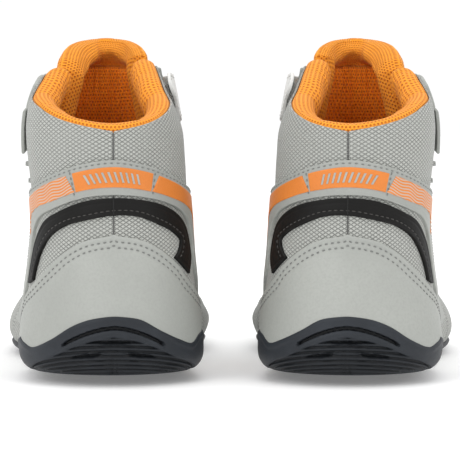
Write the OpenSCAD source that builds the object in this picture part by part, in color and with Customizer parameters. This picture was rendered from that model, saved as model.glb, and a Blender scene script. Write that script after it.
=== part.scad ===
// A pair of mid-high laced training shoes with an ankle strap.
// Each shoe is described on its own axes: heel at y = 0, toe along +y, outer side along +x.
// The left shoe is the mirror image of the right one.

/* [Pair] */
// Distance between the back seams of the two shoes
seam_gap = 106; // [100:1:140]
// Angle by which each toe points outward, in degrees
toe_out = 3.5; // [0:0.5:6]

/* [Shoe] */
// Length of one shoe
shoe_len = 281; // [250:1:310]
// Width across the ball of the foot
ball_w = 103; // [92:1:112]
// Height of the upper's edge at the back seam
back_h = 116.5; // [108:0.5:126]
// How far the toe tip springs up from the floor
toe_spring = 13; // [6:0.5:18]

/* [Sole] */
// Thickness of the rubber under the foot
tread_t = 4; // [3.5:0.1:5]
// Height of the rubber cup at the back seam
cup_back_h = 32; // [26:0.5:36]
// Thickness of the foam midsole
midsole_t = 5.7; // [4:0.1:6]
// Thickness of the board the upper is stitched to
board_t = 1.5; // [1:0.1:2]
// Thickness of the insole
insole_t = 3.4; // [2.5:0.1:4]

/* [Upper] */
// Thickness of the woven upper
mesh_t = 0.9; // [0.7:0.1:1.1]
// Thickness of the smooth overlays
overlay_t = 1; // [0.8:0.1:1.2]
// Thickness of the foam-backed lining
lining_t = 2.5; // [1.5:0.1:3]
// Thickness of the padded collar at its top edge
collar_t = 9.5; // [7:0.5:11]
// Thickness of the tongue
tongue_t = 5; // [4:0.5:6]

/* [Lacing] */
// Number of lace loops on each side of the throat
loop_rows = 5; // [4:1:5]
// Width of the flat lace
lace_w = 3; // [2.6:0.1:3.6]
// Thickness of the flat lace
lace_t = 1.8; // [1.4:0.1:2]
// Thickness of the ankle strap
strap_t = 1.6; // [1.4:0.1:2]

/* [Hidden] */
PIECES = ["outsole_heel", "outsole_forefoot", "arch_shank", "midsole", "strobel_board",
          "insole", "heel_counter", "toe_puff", "quarter_lateral", "quarter_medial",
          "vamp", "heel_overlay", "toe_overlay", "heel_sling", "ankle_band",
          "band_inlay", "eyestay_lateral", "eyestay_medial", "ear_overlay", "lace_loops",
          "lace", "lace_pocket", "tongue", "collar_padding", "lining_rear",
          "lining_front", "ankle_strap", "hook_patch", "loop_patch"];

// Scales from the reference shoe to the sizes asked for above
kx = ball_w / 103;
ky = shoe_len / 281;
kz = back_h / 116.5;

// Clearance between neighbouring layers, and between the woven upper and what is sewn on it
gap = 0.4;
stand = 0.6;
// Middle of the shoe's length, its toe bumper and overlays included
middle_y = shoe_len / 2 + 0.8;
// Stations round one side of the shoe, from the back seam to the toe
grid = 20;
// Heights at which the panels of the upper bend, and closer ones for the dome over the toes
upper_rows = [14, 22, 30, 46, 62, 78, 94, 108, 118, 127, 136];
toe_rows = [14, 22, 30, 38, 46, 54, 62];
// Share of a quarter arc's radius that its control points stand off
arc = 0.5523;

// Profiles of the shoe's skin: [height, value], one value per level above the floor.
// Back edge, front edge and how far the toe tip sits to the outer side
back_y = [[0, 19], [4, 9], [10, 3.5], [16, 1], [25, 0.5], [35, 1.5], [50, 4.5], [68, 8.5],
          [85, 11], [100, 12], [115, 11.5], [130, 10.5], [160, 9]];
front_y = [[0, 254], [4, 268], [10, 278], [16, 281], [25, 280], [35, 268], [50, 236],
           [68, 196], [85, 164], [100, 146], [115, 135], [130, 129], [160, 124]];
tip_x = [[0, -12], [16, -15], [35, -14], [50, -10], [68, -6], [100, 0], [160, 2]];
// Where the heel is widest, and its half width on the outer and inner side
heel_y = [[0, 46], [16, 42], [50, 46], [85, 54], [115, 60], [160, 60]];
heel_out = [[0, 31], [4, 37.5], [10, 41], [16, 42], [25, 41.5], [35, 40.3], [50, 38], [68, 36.3],
            [85, 37], [100, 38.8], [115, 40], [125, 39.5], [130, 38.5], [137, 35.5], [145, 31],
            [160, 28]];
heel_in = [[0, 31], [4, 37.5], [10, 40.5], [16, 41], [25, 40.6], [35, 39.8], [50, 38.5], [68, 37],
           [85, 35.8], [100, 35], [115, 34], [125, 31], [135, 26.5], [145, 23.5], [160, 22]];
// The same at the waist of the foot
waist_y = [[0, 112], [50, 108], [85, 88], [115, 80], [160, 80]];
waist_out = [[0, 32], [4, 37], [10, 40], [16, 41], [35, 40.5], [50, 38.5], [68, 37], [85, 37.5],
             [100, 39], [115, 39.5], [125, 38.5], [135, 35.5], [145, 31], [160, 28]];
waist_in = [[0, 30], [4, 35], [10, 38], [16, 39], [35, 39.5], [50, 38.5], [68, 36.5], [85, 35],
            [100, 34], [115, 33], [125, 30.5], [135, 26.5], [145, 24], [160, 22]];
// The same at the ball of the foot, which is further forward on the inner side
ball_y_out = [[0, 178], [35, 172], [50, 156], [68, 134], [85, 116], [100, 104], [115, 98],
              [160, 94]];
ball_y_in = [[0, 198], [35, 192], [50, 170], [68, 144], [85, 120], [100, 106], [115, 99],
             [160, 94]];
ball_out = [[0, 39], [4, 45], [10, 49], [16, 49.5], [22, 47], [30, 42], [40, 37], [50, 34.5],
            [68, 32.5], [85, 33], [100, 35], [115, 35], [130, 32], [145, 28], [160, 25]];
ball_in = [[0, 42], [4, 48.5], [10, 52.5], [16, 53.5], [22, 51], [30, 45.5], [40, 39.5], [50, 36],
           [68, 33], [85, 31], [100, 30], [115, 29], [130, 26.5], [145, 23.5], [160, 22]];

// Edges of the upper's panels: [way round, height].
// The way round is 0 at the back seam, 0.25 at the heel's side, 0.5 at the waist,
// 0.75 at the ball and 1 at the toe or shin.
collar_out = [[0, 116.5], [0.055, 119], [0.1, 121.5], [0.14, 124.5], [0.18, 128], [0.25, 132],
              [0.35, 136], [0.45, 139.5], [0.55, 142], [0.62, 142.4], [0.7, 139], [0.78, 133],
              [0.86, 127]];
collar_in = [[0, 116.5], [0.08, 120], [0.15, 124.5], [0.22, 129.5], [0.3, 133], [0.4, 137],
             [0.5, 140], [0.6, 143], [0.75, 146], [0.86, 146]];
cup_out = [[0, 1], [0.04, 0.94], [0.075, 0.84], [0.12, 0.64], [0.165, 0.52], [0.2, 0.56],
           [0.25, 0.58], [0.32, 0.44], [0.4, 0.19]];
cup_in = [[0, 1], [0.04, 0.93], [0.085, 0.72], [0.14, 0.58], [0.165, 0.57], [0.2, 0.67],
          [0.26, 0.63], [0.33, 0.45], [0.4, 0.19]];
fore_cup = [[0.6, 5.5], [0.8, 6.5], [0.92, 9], [1, 13]];
vamp_edge = [[0.66, 10], [0.68, 30], [0.7, 43], [0.76, 59], [0.86, 65], [1, 66]];
tongue_edge = [[0.72, 140], [0.76, 147], [0.82, 154], [0.9, 158.5], [1, 160], [1.1, 160],
               [1.18, 155], [1.22, 148]];
heel_overlay_out = [[0, 69], [0.045, 66], [0.09, 61], [0.145, 52.5], [0.19, 45.5], [0.22, 41.5],
                    [0.26, 35], [0.33, 27], [0.4, 16]];
heel_overlay_in = [[0, 69], [0.035, 67], [0.08, 62.5], [0.13, 55.5], [0.165, 48.5], [0.21, 42],
                   [0.27, 36], [0.33, 28], [0.4, 16]];

// A smooth curve through control points [x, value], read at x
function slope(p, i) =
    let (a = max(i - 1, 0), b = min(i + 1, len(p) - 1))
    (p[b][1] - p[a][1]) / (p[b][0] - p[a][0]);

function curve(p, x) =
    let (
        c = min(max(x, p[0][0]), p[len(p) - 1][0]),
        i = min(len([for (q = p) if (q[0] <= c) 1]) - 1, len(p) - 2),
        span = p[i + 1][0] - p[i][0],
        t = (c - p[i][0]) / span
    )
    (2 * t ^ 3 - 3 * t ^ 2 + 1) * p[i][1] + (t ^ 3 - 2 * t ^ 2 + t) * span * slope(p, i)
    + (3 * t ^ 2 - 2 * t ^ 3) * p[i + 1][1] + (t ^ 3 - t ^ 2) * span * slope(p, i + 1);

function bezier(a, b, c, d, t) =
    (1 - t) ^ 3 * a + 3 * (1 - t) ^ 2 * t * b + 3 * (1 - t) * t ^ 2 * c + t ^ 3 * d;

// Ways round run past 1 over the toe and down the inner side; folded back to -1..1
function fold(w) = w > 1 ? w - 2 : w;
function side(out, in, w) =
    let (u = fold(w))
    u >= 0 ? curve(out, u) : curve(in, -u);

// A point of the skin at way round u and height h, before any offset
function skin_point(u, h) =
    let (
        s = u < 0 ? -1 : 1,
        part = min(floor(abs(u) * 4), 3),
        t = abs(u) * 4 - part,
        hx = curve(s > 0 ? heel_out : heel_in, h),
        wx = curve(s > 0 ? waist_out : waist_in, h),
        bx = curve(s > 0 ? ball_out : ball_in, h),
        tx = s * curve(tip_x, h),
        y0 = curve(back_y, h),
        y1 = curve(heel_y, h),
        y2 = curve(waist_y, h),
        y3 = curve(s > 0 ? ball_y_out : ball_y_in, h),
        y4 = curve(front_y, h),
        xs = [
            [0, arc * hx, hx, hx],
            [hx, hx, wx, wx],
            [wx, wx, bx, bx],
            [bx, bx, tx + 0.6 * (bx - tx), tx]
        ][part],
        ys = [
            [y0, y0, y1 - arc * (y1 - y0), y1],
            [y1, y1 + 0.4 * (y2 - y1), y2 - 0.4 * (y2 - y1), y2],
            [y2, y2 + 0.4 * (y3 - y2), y3 - 0.4 * (y3 - y2), y3],
            [y3, y3 + 0.52 * (y4 - y3), y4, y4]
        ][part],
        x = s * bezier(xs[0], xs[1], xs[2], xs[3], t),
        y = bezier(ys[0], ys[1], ys[2], ys[3], t),
        rise = min(max((y - 205) / 76, 0), 1.1)
    )
    [kx * x, ky * y, kz * h + toe_spring * rise ^ 2];

function unit(v) = v / norm(v);

// The skin's outward normal, by small steps round and up
function skin_normal(u, h) =
    let (
        du = 0.001,
        dh = 0.05,
        across = skin_point(min(u + du, 1), h) - skin_point(max(u - du, -1), h),
        up = skin_point(u, h + dh) - skin_point(u, max(h - dh, 0))
    )
    unit(cross(across, up));

// A point at way round w and height h, standing d outside the skin
function at(w, h, d = 0) =
    let (u = fold(w))
    skin_point(u, h) + (d == 0 ? [0, 0, 0] : d * skin_normal(u, h));

// Stations from a to b on the shared grid, so that stacked layers bend at the same places
function stations(a, b) =
    concat([a], [for (k = [ceil(a * grid + 0.3):floor(b * grid - 0.3)]) k / grid], [b]);

// A size given either as a number or as a function of way round and height
function value(f, w, h = 0) = is_function(f) ? f(w, h) : f;

// The levels between lo and hi at one station, kept in order and a little apart
function rows_at(levels, w, lo, hi) =
    let (
        apart = 0.35,
        all = concat(lo, [for (l = levels) value(l, w)], hi),
        last = len(all) - 1
    )
    [for (j = [0:last]) max(lo + j * apart, min([for (k = [j:last]) all[k] - (k - j) * apart]))];

// Heights of the shared edges
function collar_h(w) = side(collar_out, collar_in, w);
function cup_h(w) = cup_back_h * side(cup_out, cup_in, w);
function fore_cup_h(w) = curve(fore_cup, abs(fold(w)));
function vamp_h(w) = curve(vamp_edge, abs(fold(w)));

// The two rubber cups leave the arch open between these ways round
heel_end = 0.4;
fore_start = 0.6;

// Lower edge of the woven upper: over the heel cup, the open arch and the forefoot cup
function foot_h(w) =
    let (u = abs(fold(w)))
    u <= heel_end ? cup_h(w) + gap : u < fore_start ? tread_t + gap + 1 : fore_cup_h(w) + gap;

// Levels of the sole's layers
midsole_z = tread_t + 0.3;
board_z = midsole_z + midsole_t + 0.3;
insole_z = board_z + board_t + 0.3;

// A closed slab between an outer and an inner grid of points
module slab(outer, inner) {
    n = len(outer) - 1;
    m = len(outer[0]) - 1;
    back = (n + 1) * (m + 1);
    function o(i, j) = i * (m + 1) + j;
    function b(i, j) = back + o(i, j);
    function quad(p, q, r, s) = [[p, q, r], [p, r, s]];
    polyhedron(
        points = concat([for (r = outer) each r], [for (r = inner) each r]),
        faces = concat(
            [for (i = [0:n - 1], j = [0:m - 1])
                each quad(o(i, j), o(i, j + 1), o(i + 1, j + 1), o(i + 1, j))],
            [for (i = [0:n - 1], j = [0:m - 1])
                each quad(b(i, j), b(i + 1, j), b(i + 1, j + 1), b(i, j + 1))],
            [for (i = [0:n - 1]) each quad(o(i, 0), o(i + 1, 0), b(i + 1, 0), b(i, 0))],
            [for (i = [0:n - 1]) each quad(o(i + 1, m), o(i, m), b(i, m), b(i + 1, m))],
            [for (j = [0:m - 1]) each quad(o(0, j + 1), o(0, j), b(0, j), b(0, j + 1))],
            [for (j = [0:m - 1]) each quad(o(n, j), o(n, j + 1), b(n, j + 1), b(n, j))]
        )
    );
}

// A panel of the upper from way round a to b, between two heights and two offsets
module panel(a, b, low, high, inside, outside, levels = []) {
    function sheet(d) = [for (w = stations(a, b))
        [for (h = rows_at(levels, w, value(low, w), value(high, w))) at(w, h, value(d, w, h))]];
    slab(sheet(outside), sheet(inside));
}

// A point on a smooth curve through plane points, s running from 0 to 1
function along(p, s) =
    [for (k = [0, 1]) curve([for (i = [0:len(p) - 1]) [i / (len(p) - 1), p[i][k]]], s)];

// A strip between two edges, each a list of [way round, height]
module strip(low, high, cols, inside, outside, rows = 1) {
    function sheet(d) = [for (i = [0:cols]) [for (j = [0:rows])
        let (s = i / cols, p = along(low, s), q = along(high, s), r = p + (j / rows) * (q - p))
        at(r[0], r[1], value(d, s, j / rows))]];
    slab(sheet(outside), sheet(inside));
}

// A closed body through rings of points, with flat-folded caps at both ends
module loft(rings) {
    n = len(rings[0]);
    last = len(rings) - 1;
    function id(i, j) = j * n + i % n;
    polyhedron(
        points = [for (r = rings) each r],
        faces = concat(
            [for (j = [0:last - 1], i = [0:n - 1])
                each [[id(i, j), id(i, j + 1), id(i + 1, j + 1)],
                      [id(i, j), id(i + 1, j + 1), id(i + 1, j)]]],
            [for (i = [0:ceil(n / 2) - 2]) [i, i + 1, n - 1 - i]],
            [for (i = [0:floor(n / 2) - 2]) [i + 1, n - 2 - i, n - 1 - i]],
            [for (i = [0:ceil(n / 2) - 2]) [id(n - 1 - i, last), id(i + 1, last), id(i, last)]],
            [for (i = [0:floor(n / 2) - 2])
                [id(n - 1 - i, last), id(n - 2 - i, last), id(i + 1, last)]]
        )
    );
}

// Evenly spread ways round for a ring that runs from a to b
function spread(a, b, n) = [for (i = [0:n - 1]) a + (b - a) * i / (n - 1)];

// A rubber cup: tread, outer wall, rim, inner wall and floor
module rubber_cup(ws, rim) {
    wall_out = 1;
    wall_in = -0.8;
    loft([
        [for (w = ws) at(w, 0, 0)],
        for (k = [0.2, 0.4, 0.7, 1]) [for (w = ws) at(w, k * rim(w), wall_out)],
        for (k = [1, 0.7, 0.4])
            [for (w = ws) at(w, max(tread_t + 0.6 * k, k * rim(w)), wall_in)],
        [for (w = ws) at(w, tread_t, wall_in - 0.4)]
    ]);
}

// A flat layer of the sole that follows the whole foot
module sole_layer(z, t, inset) {
    ws = [for (k = [1 - grid:grid - 1]) k / grid];
    loft([[for (w = ws) at(w, z, -inset)], [for (w = ws) at(w, z + t, -inset)]]);
}

module outsole_heel() {
    color("darkslategray")
    rubber_cup(stations(-heel_end, heel_end), function (w) cup_h(w));
}

module outsole_forefoot() {
    color("darkslategray")
    rubber_cup(stations(fore_start, 2 - fore_start), function (w) fore_cup_h(w));
}

module arch_shank() {
    outer = spread(heel_end + 0.015, fore_start - 0.015, 5);
    inner = spread(0.015 - fore_start, -0.015 - heel_end, 5);
    color("dimgray")
    loft([for (h = [1.4, tread_t - 0.1]) [for (w = concat(outer, inner)) at(w, h, -1.5)]]);
}

module midsole() {
    color("whitesmoke")
    sole_layer(midsole_z, midsole_t, 2.4);
}

module strobel_board() {
    color("wheat")
    sole_layer(board_z, board_t, 3);
}

module insole() {
    color("darkorange")
    sole_layer(insole_z, insole_t, 4.2 + lining_t);
}

module heel_counter() {
    color("lightyellow")
    panel(-0.34, 0.34, 14, function (w, h) 61 - 60 * w ^ 2,
          -mesh_t - 1.4, -mesh_t - gap, [22, 30, 46]);
}

module toe_puff() {
    color("lightyellow")
    panel(0.85, 1.15, 14, 38, -mesh_t - 1.4, -mesh_t - gap, [22, 30]);
}

// One side of the woven upper; s is 1 on the outer side and -1 on the inner
module quarter(s) {
    seam = 0.004;
    low = function (w, h) abs(w) < 0.66 ? foot_h(w) : vamp_h(w) + gap;
    high = function (w, h) collar_h(w);
    color("silver")
    if (s > 0) panel(seam, 0.86, low, high, -mesh_t, 0, upper_rows);
    else panel(-0.86, -seam, low, high, -mesh_t, 0, upper_rows);
}

module quarter_lateral() {
    quarter(1);
}

module quarter_medial() {
    quarter(-1);
}

module vamp() {
    color("silver")
    panel(0.672, 1.328, function (w, h) foot_h(w), function (w, h) vamp_h(w) - gap,
          -mesh_t, 0, toe_rows);
}

module heel_overlay() {
    color("gainsboro")
    panel(-heel_end, heel_end, function (w, h) cup_h(w) + gap,
          function (w, h) side(heel_overlay_out, heel_overlay_in, w), stand, stand + overlay_t,
          [14, 22, 30, 46, 62]);
}

module toe_overlay() {
    color("gainsboro")
    panel(0.8, 1.2, function (w, h) fore_cup_h(w) + gap,
          function (w, h) 22 + 8 * cos(450 * (w - 1)), stand, stand + overlay_t, [14, 22]);
}

// Edges of the sling that goes over the heel and down both sides, inner leg first
sling_low = [[-0.132, 58], [-0.148, 61.5], [-0.155, 66], [-0.13, 70], [-0.09, 74], [-0.045, 77.5],
             [0, 78], [0.05, 76], [0.1, 73], [0.145, 67.5], [0.175, 60], [0.19, 53],
             [0.195, 47]];
sling_high = [[-0.178, 50], [-0.194, 58], [-0.185, 69], [-0.16, 76], [-0.11, 82], [-0.055, 85],
              [0, 86], [0.055, 84.5], [0.115, 79.5], [0.165, 74], [0.205, 64], [0.22, 54],
              [0.225, 45]];

module heel_sling() {
    color("#33343a")
    strip(sling_low, sling_high, 24, stand, stand + overlay_t);
}

// Edges of the band round the ankle; on each side it widens and sweeps down to the arch
band_low = [[-0.5, 14], [-0.4, 24], [-0.3, 36], [-0.22, 52], [-0.215, 67], [-0.18, 77],
            [-0.12, 83], [-0.055, 86.3], [0, 87.3], [0.055, 86], [0.125, 81], [0.19, 75],
            [0.235, 64], [0.245, 52], [0.3, 38], [0.4, 25], [0.5, 14]];
band_high = [[-0.62, 20], [-0.56, 42], [-0.47, 62], [-0.39, 76], [-0.295, 85], [-0.2, 90.5],
             [-0.13, 96], [-0.065, 101], [0, 103.5], [0.065, 101], [0.13, 96], [0.2, 90.5],
             [0.295, 85], [0.39, 77], [0.47, 62], [0.56, 42], [0.62, 20]];
band_centre = function (s, k) (1 - k) * along(band_low, s) + k * along(band_high, s);

module ankle_band() {
    color("lightgray")
    strip(band_low, band_high, 30, stand, stand + overlay_t, 3);
}

module band_inlay() {
    margin = 0.22;
    steps = [for (i = [0:16]) 0.06 + 0.88 * i / 16];
    color("orange")
    strip([for (s = steps) band_centre(s, margin)], [for (s = steps) band_centre(s, 1 - margin)],
          28, stand + overlay_t + 0.5, stand + overlay_t + 1, 2);
}

// The reinforced edge that carries the lace loops
module eyestay(s) {
    low = function (w, h) vamp_h(w) + 1;
    high = function (w, h) collar_h(w) - 1;
    color("gainsboro")
    if (s > 0) panel(0.74, 0.85, low, high, stand, stand + overlay_t, upper_rows);
    else panel(-0.85, -0.74, low, high, stand, stand + overlay_t, upper_rows);
}

module eyestay_lateral() {
    eyestay(1);
}

module eyestay_medial() {
    eyestay(-1);
}

module ear_overlay() {
    color("gainsboro")
    panel(0.4, 0.73, 126, function (w, h) collar_h(w) - 1, stand, stand + overlay_t, [131]);
}

// Rows of lacing up the throat
loop_w = 0.795;
row_low = 72;
row_step = 8.6;
function row_h(k) = row_low + row_step * k;

// A webbing loop sewn to the eyestay, open up the throat so that the lace turns in it
module lace_loop(w, h) {
    base = stand + overlay_t + 0.4;
    wide = lace_w + 4.4;
    tall = lace_t + 2.2;
    long = 1.8;
    wall = 0.7;
    n = skin_normal(fold(w), h);
    up = unit(cross(n, cross([0, 0, 1], n)));
    t = cross(up, n);
    p = at(w, h, base);
    multmatrix([
        [t[0], up[0], n[0], p[0]],
        [t[1], up[1], n[1], p[1]],
        [t[2], up[2], n[2], p[2]]
    ])
    difference() {
        translate([-wide / 2 - wall, -long / 2, 0])
        cube([wide + 2 * wall, long, tall + 2 * wall]);
        translate([-wide / 2, -long, wall])
        cube([wide, 2 * long, tall]);
    }
}

module lace_loops() {
    color("dimgray")
    for (k = [0:loop_rows - 1], w = [loop_w, 2 - loop_w]) lace_loop(w, row_h(k));
}

// The lace's route as [way round, height, stand-off], from one tucked end to the other.
// Half of it climbs from the middle of the first row to the pocket on the tongue.
turn = 3;
lean = 0.008;
lace_d = stand + overlay_t + 0.4 + 0.7 + 1.7;
edge_w = 0.9;
function mirror_w(p) = [2 - p[0], p[1], p[2]];
function hop(k, over) =
    let (h0 = row_h(k) + turn, h1 = row_h(k + 1) - turn, mid = (h0 + h1) / 2)
    [[0.83, h0, lace_d], [edge_w, h0 + (h1 - h0) * 0.3, over ? 3.2 : 1.8],
     [0.95, h0 + (h1 - h0) * 0.4, over ? 2.8 : 0.6], [1, mid, over ? 2.6 : 0],
     [1.05, h0 + (h1 - h0) * 0.6, over ? 2.8 : 0.6],
     [2 - edge_w, h0 + (h1 - h0) * 0.7, over ? 3.2 : 1.8], [1.17, h1, lace_d]];
function turning(k) =
    [[2 - loop_w + lean, row_h(k) - turn * 0.95, lace_d], [2 - loop_w, row_h(k), lace_d],
     [2 - loop_w - lean, row_h(k) + turn * 0.95, lace_d]];
function climb(first) =
    concat(
        [[0.95, row_h(0) - turn - 1, 1], [edge_w, row_h(0) - turn - 1, 2],
         [0.83, row_h(0) - turn, lace_d]],
        [for (p = turning(0)) mirror_w(p)],
        [for (k = [0:loop_rows - 2])
            let (over = (k % 2 == 0) == first, path = concat(hop(k, over), turning(k + 1)))
            each [for (p = path) k % 2 == 0 ? p : mirror_w(p)]],
        [for (p = [[1.17, row_h(loop_rows - 1) + turn, lace_d], [1.12, 110.2, 2.4],
                   [1.07, 111.2, -0.1], [1.045, 115, -0.7], [1.04, 121, -0.7],
                   [1.04, 128, -0.7]])
            loop_rows % 2 == 0 ? p : mirror_w(p)]
    );
right_half = climb(true);
left_half = [for (p = climb(false)) mirror_w(p)];
lace_route = concat(
    [for (i = [len(left_half) - 1:-1:0]) left_half[i]],
    [[1, row_h(0) - turn - 1, 0.6]],
    right_half
);

module lace() {
    pts = [for (p = lace_route) at(p[0], p[1], p[2])];
    last = len(pts) - 1;
    rings = [for (i = [0:last])
        let (
            t = unit(pts[min(i + 1, last)] - pts[max(i - 1, 0)]),
            n0 = skin_normal(fold(lace_route[i][0]), lace_route[i][1]),
            b = unit(cross(n0, t)),
            n = cross(t, b)
        )
        [for (c = [[-1, -1], [1, -1], [1, 1], [-1, 1]])
            pts[i] + c[0] * lace_w / 2 * b + c[1] * lace_t / 2 * n]];
    color("lightgray")
    loft(rings);
}

module lace_pocket() {
    color("gray")
    panel(0.9, 1.1, 113.5, 134, 0.8, 1.6, [118, 127]);
}

module tongue() {
    color("darkorange")
    panel(0.72, 1.22, 61, function (w, h) curve(tongue_edge, w),
          function (w, h) -2.9 - tongue_t * (0.6 + 0.4 * (h - 61) / 100), -2.9,
          [78, 94, 108, 118, 127, 136, 148]);
}

// The collar pad is thin below and full at its rounded top
module collar_padding() {
    root_t = 3.5;
    drop = 29;
    crown = 3.5;
    fullness = function (w, h) sqrt(min(1, max(0, (h - collar_h(w) + drop) / drop)));
    color("orange")
    panel(-0.76, 0.66, function (w, h) collar_h(w) - drop, function (w, h) collar_h(w) + crown,
          function (w, h) -mesh_t - gap - root_t - (collar_t - root_t) * fullness(w, h)
              + (h > collar_h(w) + 1 ? 2.5 : 0),
          function (w, h) -mesh_t - gap - (h > collar_h(w) + 1 ? 2.5 : 0),
          [94, 108, 118, 127, 136, function (w, h) collar_h(w) + 0.5]);
}

module lining_rear() {
    color("darkorange")
    panel(-0.655, 0.655, insole_z, function (w, h) collar_h(w) - 30, -mesh_t - 1.8 - lining_t,
          -mesh_t - 1.8, [14, 22, 30, 46, 62, 78]);
}

module lining_front() {
    color("darkorange")
    panel(0.67, 1.33, insole_z, function (w, h) min(vamp_h(w) - 2, 58), -mesh_t - 1.8 - lining_t,
          -mesh_t - 1.8, toe_rows);
}

// The strap is sewn to the outer side, crosses over the laces and closes on the inner side
strap_low = [[0.54, 104], [0.64, 106], [0.74, 109], [0.86, 112], [1, 113.5], [1.14, 114.5],
             [1.26, 115.5], [1.36, 117], [1.44, 121]];
strap_high = [[0.54, 124], [0.64, 128], [0.74, 132], [0.86, 135], [1, 137], [1.14, 139],
              [1.26, 141], [1.36, 142], [1.44, 138]];
strap_lift = [[0, 1.9], [0.12, 2.4], [0.22, 5], [0.3, 6.2], [0.7, 6.2], [0.85, 5.4], [1, 5.4]];

module ankle_strap() {
    color("whitesmoke")
    strip(strap_low, strap_high, 24, function (s, v) curve(strap_lift, s),
          function (s, v) curve(strap_lift, s) + strap_t, 2);
}

// The patches of the closure: loops on the inner side of the upper, hooks in the strap
patch_low = [[1.3, 119], [1.35, 120], [1.4, 122]];
patch_high = [[1.3, 138], [1.35, 138], [1.4, 137]];

module hook_patch() {
    color("black")
    strip(patch_low, patch_high, 4, 4.2, 5.1);
}

module loop_patch() {
    color("dimgray")
    strip(patch_low, patch_high, 4, 1, 2.4);
}

module on_right() {
    translate([seam_gap / 2, -middle_y, 0])
    rotate([0, 0, -toe_out])
    children();
}

module on_left() {
    mirror([1, 0, 0])
    on_right()
    children();
}

on_left() outsole_heel();  // left_outsole_heel
on_left() outsole_forefoot();  // left_outsole_forefoot
on_left() arch_shank();  // left_arch_shank
on_left() midsole();  // left_midsole
on_left() strobel_board();  // left_strobel_board
on_left() insole();  // left_insole
on_left() heel_counter();  // left_heel_counter
on_left() toe_puff();  // left_toe_puff
on_left() quarter_lateral();  // left_quarter_lateral
on_left() quarter_medial();  // left_quarter_medial
on_left() vamp();  // left_vamp
on_left() heel_overlay();  // left_heel_overlay
on_left() toe_overlay();  // left_toe_overlay
on_left() heel_sling();  // left_heel_sling
on_left() ankle_band();  // left_ankle_band
on_left() band_inlay();  // left_band_inlay
on_left() eyestay_lateral();  // left_eyestay_lateral
on_left() eyestay_medial();  // left_eyestay_medial
on_left() ear_overlay();  // left_ear_overlay
on_left() lace_loops();  // left_lace_loops
on_left() lace();  // left_lace
on_left() lace_pocket();  // left_lace_pocket
on_left() tongue();  // left_tongue
on_left() collar_padding();  // left_collar_padding
on_left() lining_rear();  // left_lining_rear
on_left() lining_front();  // left_lining_front
on_left() ankle_strap();  // left_ankle_strap
on_left() hook_patch();  // left_hook_patch
on_left() loop_patch();  // left_loop_patch
on_right() outsole_heel();  // right_outsole_heel
on_right() outsole_forefoot();  // right_outsole_forefoot
on_right() arch_shank();  // right_arch_shank
on_right() midsole();  // right_midsole
on_right() strobel_board();  // right_strobel_board
on_right() insole();  // right_insole
on_right() heel_counter();  // right_heel_counter
on_right() toe_puff();  // right_toe_puff
on_right() quarter_lateral();  // right_quarter_lateral
on_right() quarter_medial();  // right_quarter_medial
on_right() vamp();  // right_vamp
on_right() heel_overlay();  // right_heel_overlay
on_right() toe_overlay();  // right_toe_overlay
on_right() heel_sling();  // right_heel_sling
on_right() ankle_band();  // right_ankle_band
on_right() band_inlay();  // right_band_inlay
on_right() eyestay_lateral();  // right_eyestay_lateral
on_right() eyestay_medial();  // right_eyestay_medial
on_right() ear_overlay();  // right_ear_overlay
on_right() lace_loops();  // right_lace_loops
on_right() lace();  // right_lace
on_right() lace_pocket();  // right_lace_pocket
on_right() tongue();  // right_tongue
on_right() collar_padding();  // right_collar_padding
on_right() lining_rear();  // right_lining_rear
on_right() lining_front();  // right_lining_front
on_right() ankle_strap();  // right_ankle_strap
on_right() hook_patch();  // right_hook_patch
on_right() loop_patch();  // right_loop_patch
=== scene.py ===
# A pair of mid-high lace-up shoes with ankle straps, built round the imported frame.
# Shapes are worked out in millimetres for the right shoe, standing with its heel at y = 0 and
# +x on its outer side, then put in place and mirrored for the left one.
import math

import bpy
import mathutils
import numpy as np
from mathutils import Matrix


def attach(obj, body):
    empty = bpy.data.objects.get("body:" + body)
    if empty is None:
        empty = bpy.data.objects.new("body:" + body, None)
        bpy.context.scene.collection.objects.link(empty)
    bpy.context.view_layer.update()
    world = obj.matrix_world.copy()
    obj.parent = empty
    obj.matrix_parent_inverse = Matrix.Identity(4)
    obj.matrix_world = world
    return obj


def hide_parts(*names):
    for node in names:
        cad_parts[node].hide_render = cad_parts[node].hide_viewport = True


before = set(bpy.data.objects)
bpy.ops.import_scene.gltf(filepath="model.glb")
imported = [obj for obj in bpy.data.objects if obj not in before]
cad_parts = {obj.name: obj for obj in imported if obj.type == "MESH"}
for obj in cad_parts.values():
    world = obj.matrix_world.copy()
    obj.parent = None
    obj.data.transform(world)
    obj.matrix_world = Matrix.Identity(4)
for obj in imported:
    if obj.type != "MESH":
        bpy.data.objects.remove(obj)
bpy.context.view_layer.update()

# ------------------------------------------------------------------ camera, light and floor

TARGET = (0.0, -0.1418, 0.068)
DISTANCE, TILT = 1.40, math.radians(3.5)


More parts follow.
